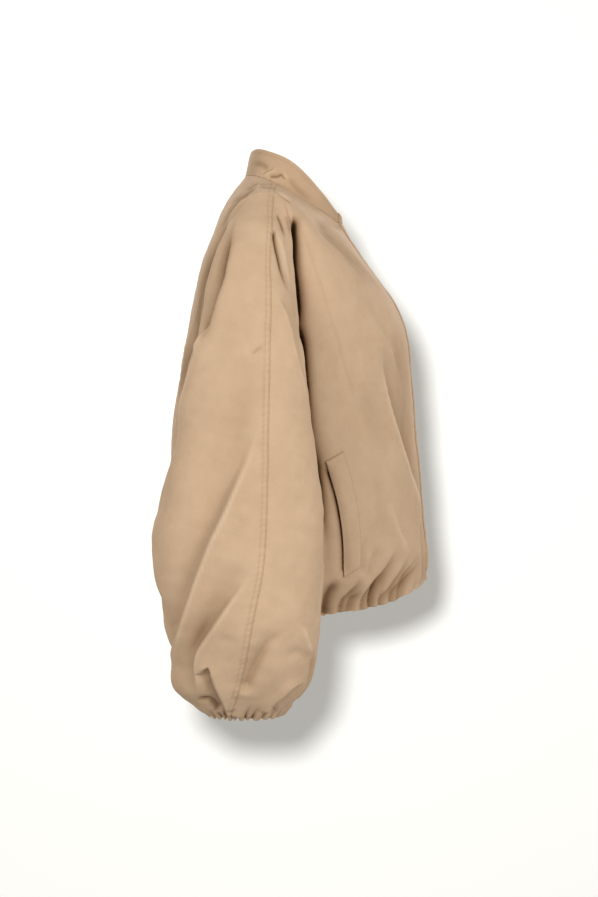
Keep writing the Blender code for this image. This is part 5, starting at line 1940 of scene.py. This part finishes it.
@dataclass
class Sleeve:
    """One sleeve of two halves, felled along the overarm.

    Attributes:
        form: The sleeve's form.
        tailor: Finishes the pieces.
        overarm: The felled overarm seam, whose strip lies on the back half.
        front_cut: Flat size of its front half.
        back_cut: Flat size of its back half.
    """

    form: SleeveForm
    tailor: Tailor
    overarm: FelledSeam = FelledSeam()
    front_cut: CutSize = CutSize(0.31, 0.66, 0.147)
    back_cut: CutSize = CutSize(0.39, 0.69, 0.200)

    def build(self) -> None:
        """Build both halves and their stitches."""
        word = "right" if self.form.side < 0 else "left"
        grid, wear_and_painted_light, _ = self.form.build()
        normals = closed_normals(grid) * -self.form.side
        seam = self.form.columns
        steps = np.linalg.norm(np.diff(grid[:, 0], axis=0), axis=1)
        along = np.concatenate([[0], np.cumsum(steps)])[:, None]
        for half, columns in (("front", slice(0, seam + 1)), ("back", slice(seam, None))):
            is_back = half == "back"
            part, ways = grid[:, columns], normals[:, columns]
            over = distances_from(part, -1 if is_back else 0)
            under = distances_from(part, 0 if is_back else -1)
            away = -groove(under, 0, 0.8, 1.6)
            if is_back:
                away += self.overarm.relief(over, along)
            else:
                away += self.overarm.pucker * self.overarm.waves(along) * bell(over / (9 * MM))
                away -= groove(over, 0, 0.5, 1.2)
            away *= smooth_step(along / (6 * MM))
            outer = part + ways * away[..., None]
            # Painted shade along the overarm seam.
            kept = wear_and_painted_light[:, columns] - self.overarm.lines(over) * (1.0 if is_back else over < 3 * MM)
            shell = ClothShell(f"sleeve_{word}_{half}_cloth", outer, kept, -float(self.form.side))
            shell.sewn = self.overarm.drawn(over if is_back else over + self.overarm.width)
            piece = shell.build(self.tailor.sleeve_cloth)
            sewn = []
            if is_back:
                lift, rows = ways * THREAD_LIFT, slice(2, len(grid) - 2)
                lines = [line_at(outer, over, row, lift, rows) for row in self.overarm.rows]
                sewn.append(self.tailor.stitcher.sew(f"overarm_{word}_stitches", lines))
            cut = self.back_cut if is_back else self.front_cut
            rests = [f"front_{word}_cloth", "back_cloth"]
            node = f"sleeve_{word}_{half}"
            self.tailor.hang(piece, node, "sleeve_cloth", cut, "gathered", rests, sewn)


@dataclass
class PocketWelt:
    """A long welt on a front, stitched at its ends and along its front edge.

    Attributes:
        form: The body's form.
        tailor: Finishes the piece.
        side: -1 for the wearer's right, +1 for the left.
        top: Upper corner of its open edge, as Y and Z.
        bottom: Lower corner of that edge.
        width: Its width.
        bow: How far its edges bow to the front.
        rake: How far its front edge sits above its open edge.
        lift: How far the open edge stands off the front.
        wall: Thickness of its two layers.
        rest: Gap between it and the front.
        length: Its length.
        end_row: Distance of the stitching from each of its ends.
        long_steps: Steps of its grid down it.
        wide_steps: Steps of its grid across it.
        cut: Its flat size.
    """

    form: BodyForm
    tailor: Tailor
    side: int
    top: tuple[float, float] = (-0.0600, -0.4065)
    bottom: tuple[float, float] = (-0.0868, -0.5775)
    width: float = 0.0265
    bow: float = 0.0085
    rake: float = 0.010
    lift: float = 0.0034
    wall: float = 0.0018
    rest: float = 0.0006
    length: float = 0.169
    end_row: float = 0.0022
    long_steps: int = 90
    wide_steps: int = 22
    cut: CutSize = CutSize(0.032, 0.177, 0.0055)

    def place(self, share: Points, across: Points) -> tuple[Points, Points]:
        """Turn and down of places on the welt.

        Args:
            share: Share down the welt.
            across: Share from its open edge to its front edge.

        Returns:
            Turn, without its side, and down.
        """
        top, bottom = np.array(self.top), np.array(self.bottom)
        run = unit(bottom - top)
        forward = np.array([run[1], -run[0]])
        forward = forward * -np.sign(forward[0])
        ahead = self.bow * 4 * share * (1 - share) + self.width * across
        wanted = top + (bottom - top) * share[..., None] + forward * ahead[..., None]
        wanted = wanted - run * (self.rake * across)[..., None]
        place = np.stack([np.full(share.shape, 65.0), np.full(share.shape, 0.8)], axis=-1)
        for _ in range(10):
            seen = BODY.oval(place[..., 0], place[..., 1])[..., 1:]
            by_turn = (BODY.oval(place[..., 0] + 0.2, place[..., 1])[..., 1:] - seen) / 0.2
            by_down = (BODY.oval(place[..., 0], place[..., 1] + 0.001)[..., 1:] - seen) / 0.001
            change = np.stack([by_turn, by_down], axis=-1)
            place = place + np.linalg.solve(change, (wanted - seen)[..., None])[..., 0]
        return place[..., 0], place[..., 1]

    def build(self) -> None:
        """Build the welt and its stitches."""
        word = "right" if self.side < 0 else "left"
        down_it, over_it = graded(self.long_steps, 1.0, 1.0, 0.06), graded(self.wide_steps, 1.0, 1.0, 0.12)
        share, across = np.meshgrid(down_it, over_it, indexing="ij")
        turn, down = self.place(share, across)
        face, _ = self.form.surface(turn * self.side, down)
        smooth = BODY.oval(turn * self.side, down)
        normals = form_normals(BODY.oval, turn * self.side, down)
        carried = np.sum((face - smooth) * normals, axis=-1)
        eased = carried.copy()
        for _ in range(6):
            padded = np.pad(eased, 1, mode="edge")
            eased = (padded[:-2, 1:-1] + padded[2:, 1:-1] + padded[1:-1, :-2] + padded[1:-1, 2:]) / 4
        over = np.maximum(np.max(carried - eased), 0)
        lift = self.rest + self.lift * (1 - across) ** 1.5 * np.sin(math.pi * (0.12 + 0.76 * share))
        long_way, wide_way = share * self.length, across * self.width
        ends = np.minimum(long_way, self.length - long_way)
        seam = np.minimum(ends, self.width - wide_way)
        rim = np.minimum(seam, wide_way)
        rise = eased + 0.5 * over + lift + self.wall
        rise -= groove(rim, 0, 0.9, 0.7)
        rise -= 0.35 * MM * bell((ends - self.end_row) / (0.7 * MM))
        grid = smooth + normals * rise[..., None]
        # Painted highlight along the folded open edge, and painted shade along the stitched seams.
        kept = 0.35 * bell(wide_way / (1.6 * MM)) - 0.4 * bell(seam / (0.7 * MM))
        shell = ClothShell(f"welt_{word}_cloth", grid, kept, 1.0, self.wall)
        middle = (self.long_steps // 2, self.wide_steps // 2)
        shell.hand = float(np.sign(np.sum(shell.normals()[middle] * normals[middle])))
        piece = shell.build(self.tailor.welt_cloth)
        raised = grid + normals * 2 * THREAD_LIFT
        places = (self.end_row, self.length - self.end_row)
        rows = [np.argmin(np.abs(long_way[:, 0] - place)) for place in places]
        stitches = self.tailor.stitcher.sew(f"welt_{word}_stitches", [raised[row, 1:-1] for row in rows])
        rests = [f"front_{word}_cloth"]
        self.tailor.hang(piece, f"pocket_welt_{word}", "welt_cloth", self.cut, "laid", rests, [stitches])


# ---------------------------------------------------------------- studio
@dataclass(frozen=True)
class SoftLight:
    """A soft round light.

    Attributes:
        name: Its name.
        place: Where it stands.
        target: Where it points.
        size: Its width.
        watts: Its strength.
    """

    name: str
    place: Place
    target: Place
    size: float
    watts: float


JACKET_LIGHTS = (
    SoftLight("key", (-2.5, 1.6, 0.25), (0.0, -0.02, -0.42), 1.2, 28.0),
    SoftLight("second_key", (-2.35, -1.8, 0.15), (0.0, -0.02, -0.42), 1.2, 37.0),
    SoftLight("far_key", (2.8, -1.2, 0.75), (0.0, 0.0, -0.36), 1.3, 39.0),
    SoftLight("second_far_key", (2.8, 1.2, 0.75), (0.0, 0.0, -0.36), 1.3, 35.0),
)
WALL_LIGHT = SoftLight("wall_light", (-3.2, 0.07, -0.09), (1.5, -0.02, -0.3), 0.12, 150.0)


@dataclass
class Studio:
    """Camera, soft lights, pale floor and a pale wall behind.

    Attributes:
        eye: Place of the camera.
        pitch: How far it looks down, in degrees.
        lens: Its focal length in millimetres.
        floor_height: Height of the floor.
        floor_half: Half its width.
        wall_x: Place of the wall behind the jacket.
        wall_half: Half its width.
        wall_top: Height of its upper edge.
        paper: Colour that shows behind everything, linear.
        ambient_low: Strength of the light from below.
        ambient_high: Strength of the light from above.
    """

    eye: Place = (-3.2, -0.0217, -0.217)
    pitch: float = 3.28
    lens: float = 82.9
    floor_height: float = -1.55
    floor_half: float = 9.0
    wall_x: float = 1.5
    wall_half: float = 0.95
    wall_top: float = 1.15
    paper: tuple[float, float, float] = (0.985, 0.985, 0.945)
    ambient_low: float = 0.34
    ambient_high: float = 0.62

    def camera(self) -> None:
        """Square-on camera on the wearer's right."""
        data = bpy.data.cameras.new("camera")
        data.lens = self.lens
        camera = bpy.data.objects.new("camera", data)
        camera.location = self.eye
        slope = math.radians(self.pitch)
        ahead = Vector((math.cos(slope), 0.0, -math.sin(slope)))
        camera.rotation_euler = ahead.to_track_quat("-Z", "Y").to_euler()
        bpy.context.scene.collection.objects.link(camera)
        bpy.context.scene.camera = camera

    def world(self) -> None:
        """Even pale light from all round."""
        world = bpy.data.worlds.new("studio")
        bpy.context.scene.world = world
        world.use_nodes = True
        sheet = NodeSheet(world.node_tree)
        world.node_tree.nodes.clear()
        seen, lit = sheet.node("ShaderNodeBackground"), sheet.node("ShaderNodeBackground")
        seen.inputs[0].default_value = (*self.paper, 1.0)
        lit.inputs[0].default_value = (1.0, 0.985, 0.96, 1.0)
        way, height = sheet.node("ShaderNodeTexCoord"), sheet.node("ShaderNodeSeparateXYZ")
        sheet.join(way.outputs["Generated"], height.inputs[0])
        rise = sheet.node("ShaderNodeMapRange", interpolation_type="SMOOTHSTEP")
        sheet.join(height.outputs[2], rise.inputs["Value"])
        limits = {"From Min": -0.8, "From Max": 0.9, "To Min": self.ambient_low, "To Max": self.ambient_high}
        for label, value in limits.items():
            rise.inputs[label].default_value = value
        sheet.join(rise.outputs[0], lit.inputs[1])
        path, mixed = sheet.node("ShaderNodeLightPath"), sheet.node("ShaderNodeMixShader")
        out = sheet.node("ShaderNodeOutputWorld")
        sheet.join(path.outputs["Is Camera Ray"], mixed.inputs[0])
        sheet.join(lit.outputs[0], mixed.inputs[1])
        sheet.join(seen.outputs[0], mixed.inputs[2])
        sheet.join(mixed.outputs[0], out.inputs[0])

    def area(self, soft: SoftLight, only: bpy.types.Collection) -> None:
        """Put up one light.

        Args:
            soft: The light.
            only: The collection that it lights.
        """
        data = bpy.data.lights.new(soft.name, "AREA")
        data.shape, data.size, data.energy = "DISK", soft.size, soft.watts
        light = bpy.data.objects.new(soft.name, data)
        light.location = soft.place
        way = Vector(soft.target) - Vector(soft.place)
        light.rotation_euler = way.to_track_quat("-Z", "Y").to_euler()
        bpy.context.scene.collection.objects.link(light)
        light.light_linking.receiver_collection = only

    def paper_material(self, name: str, one_sided: bool) -> bpy.types.Material:
        """Plain pale paper with a faint grain.

        Args:
            name: Its name.
            one_sided: Whether it shows from its front alone.

        Returns:
            The material.
        """
        made = bpy.data.materials.new(name)
        made.use_nodes = True
        sheet = NodeSheet(made.node_tree)
        shader = made.node_tree.nodes["Principled BSDF"]
        out = made.node_tree.nodes["Material Output"]
        places = sheet.node("ShaderNodeTexCoord")
        grain = sheet.noise(places.outputs["Object"], 900.0, 2.0)
        warm = (0.955, 0.952, 0.915, 1.0)
        sheet.join(sheet.mix(grain, warm, (0.965, 0.962, 0.925, 1.0)), shader.inputs["Base Color"])
        shader.inputs["Roughness"].default_value = 1.0
        shader.inputs["Specular IOR Level"].default_value = 0.0
        shader.inputs["Emission Color"].default_value = warm
        shader.inputs["Emission Strength"].default_value = 0.0 if one_sided else 0.4
        if one_sided:
            side, clear = sheet.node("ShaderNodeNewGeometry"), sheet.node("ShaderNodeBsdfTransparent")
            mixed = sheet.node("ShaderNodeMixShader")
            sheet.join(side.outputs["Backfacing"], mixed.inputs[0])
            sheet.join(shader.outputs[0], mixed.inputs[1])
            sheet.join(clear.outputs[0], mixed.inputs[2])
            sheet.join(mixed.outputs[0], out.inputs[0])
        return made

    def sheet_of(self, name: str, corners: list[Place], material: bpy.types.Material) -> bpy.types.Object:
        """A flat four-cornered stage piece.

        Args:
            name: Its name.
            corners: Its corners, in turn.
            material: Its material.

        Returns:
            The piece.
        """
        mesh = bpy.data.meshes.new(name)
        mesh.from_pydata(corners, [], [(0, 1, 2, 3)])
        mesh.materials.append(material)
        piece = bpy.data.objects.new(name, mesh)
        bpy.context.scene.collection.objects.link(piece)
        piece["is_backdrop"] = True
        return piece

    def build(self, jacket: list[bpy.types.Object]) -> None:
        """Set up everything round the jacket.

        Args:
            jacket: The jacket's pieces, which the soft lights light.
        """
        bpy.context.scene.view_settings.view_transform = "Standard"
        self.camera()
        self.world()
        x, low, high, half = self.wall_x, self.floor_height, self.wall_top, self.wall_half
        corners = [(x, -half, low), (x, -half, high), (x, half, high), (x, half, low)]
        wall = self.sheet_of("wall", corners, self.paper_material("wall_paper", True))
        half = self.floor_half
        floor_corners = [(-half, -half, low), (half, -half, low), (half, half, low), (-half, half, low)]
        floor = self.sheet_of("floor", floor_corners, self.paper_material("floor_paper", False))
        for way in ("diffuse", "glossy", "transmission", "volume_scatter", "shadow"):
            setattr(wall, "visible_" + way, False)
        floor.visible_diffuse = False
        lit = bpy.data.collections.new("lit_by_soft_lights")
        behind = bpy.data.collections.new("lit_by_wall_light")
        for piece in [*jacket, floor]:
            lit.objects.link(piece)
        behind.objects.link(wall)
        for light in JACKET_LIGHTS:
            self.area(light, lit)
        self.area(WALL_LIGHT, behind)
        log.info("studio: floor at %.2f m, wall at %.2f m", self.floor_height, self.wall_x)


# ---------------------------------------------------------------- the whole jacket
def main() -> None:
    """Dress the jacket piece by piece, then set up the studio."""
    logging.basicConfig(level=logging.INFO, format="%(name)s: %(message)s")
    groups = ClothGroups()
    collar_base = (0.530, 0.365, 0.232)
    tailor = Tailor(
        Stitcher(SewingThread().material()),
        PeachedCotton("body_cotton").material(groups),
        PeachedCotton("sleeve_cotton", crumple=0.44).material(groups),
        PeachedCotton("collar_cotton", collar_base, crumple=0.22, pucker_across=1.1).material(groups),
        PeachedCotton("welt_cotton", crumple=0.16).material(groups),
    )
    form = BodyForm()
    body = JacketBody(form, tailor)
    body.front("right", -1)
    body.front("left", 1)
    body.back()
    Collar(form, tailor).build()
    for side in (-1, 1):
        rows, cuff, columns = (236, 74, 128) if side < 0 else (150, 52, 80)
        Sleeve(SleeveForm(form, side, rows, cuff, columns), tailor).build()
        PocketWelt(form, tailor, side).build()
    Studio().build([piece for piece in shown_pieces() if not piece.hide_render])


if __name__ == "__main__":
    main()
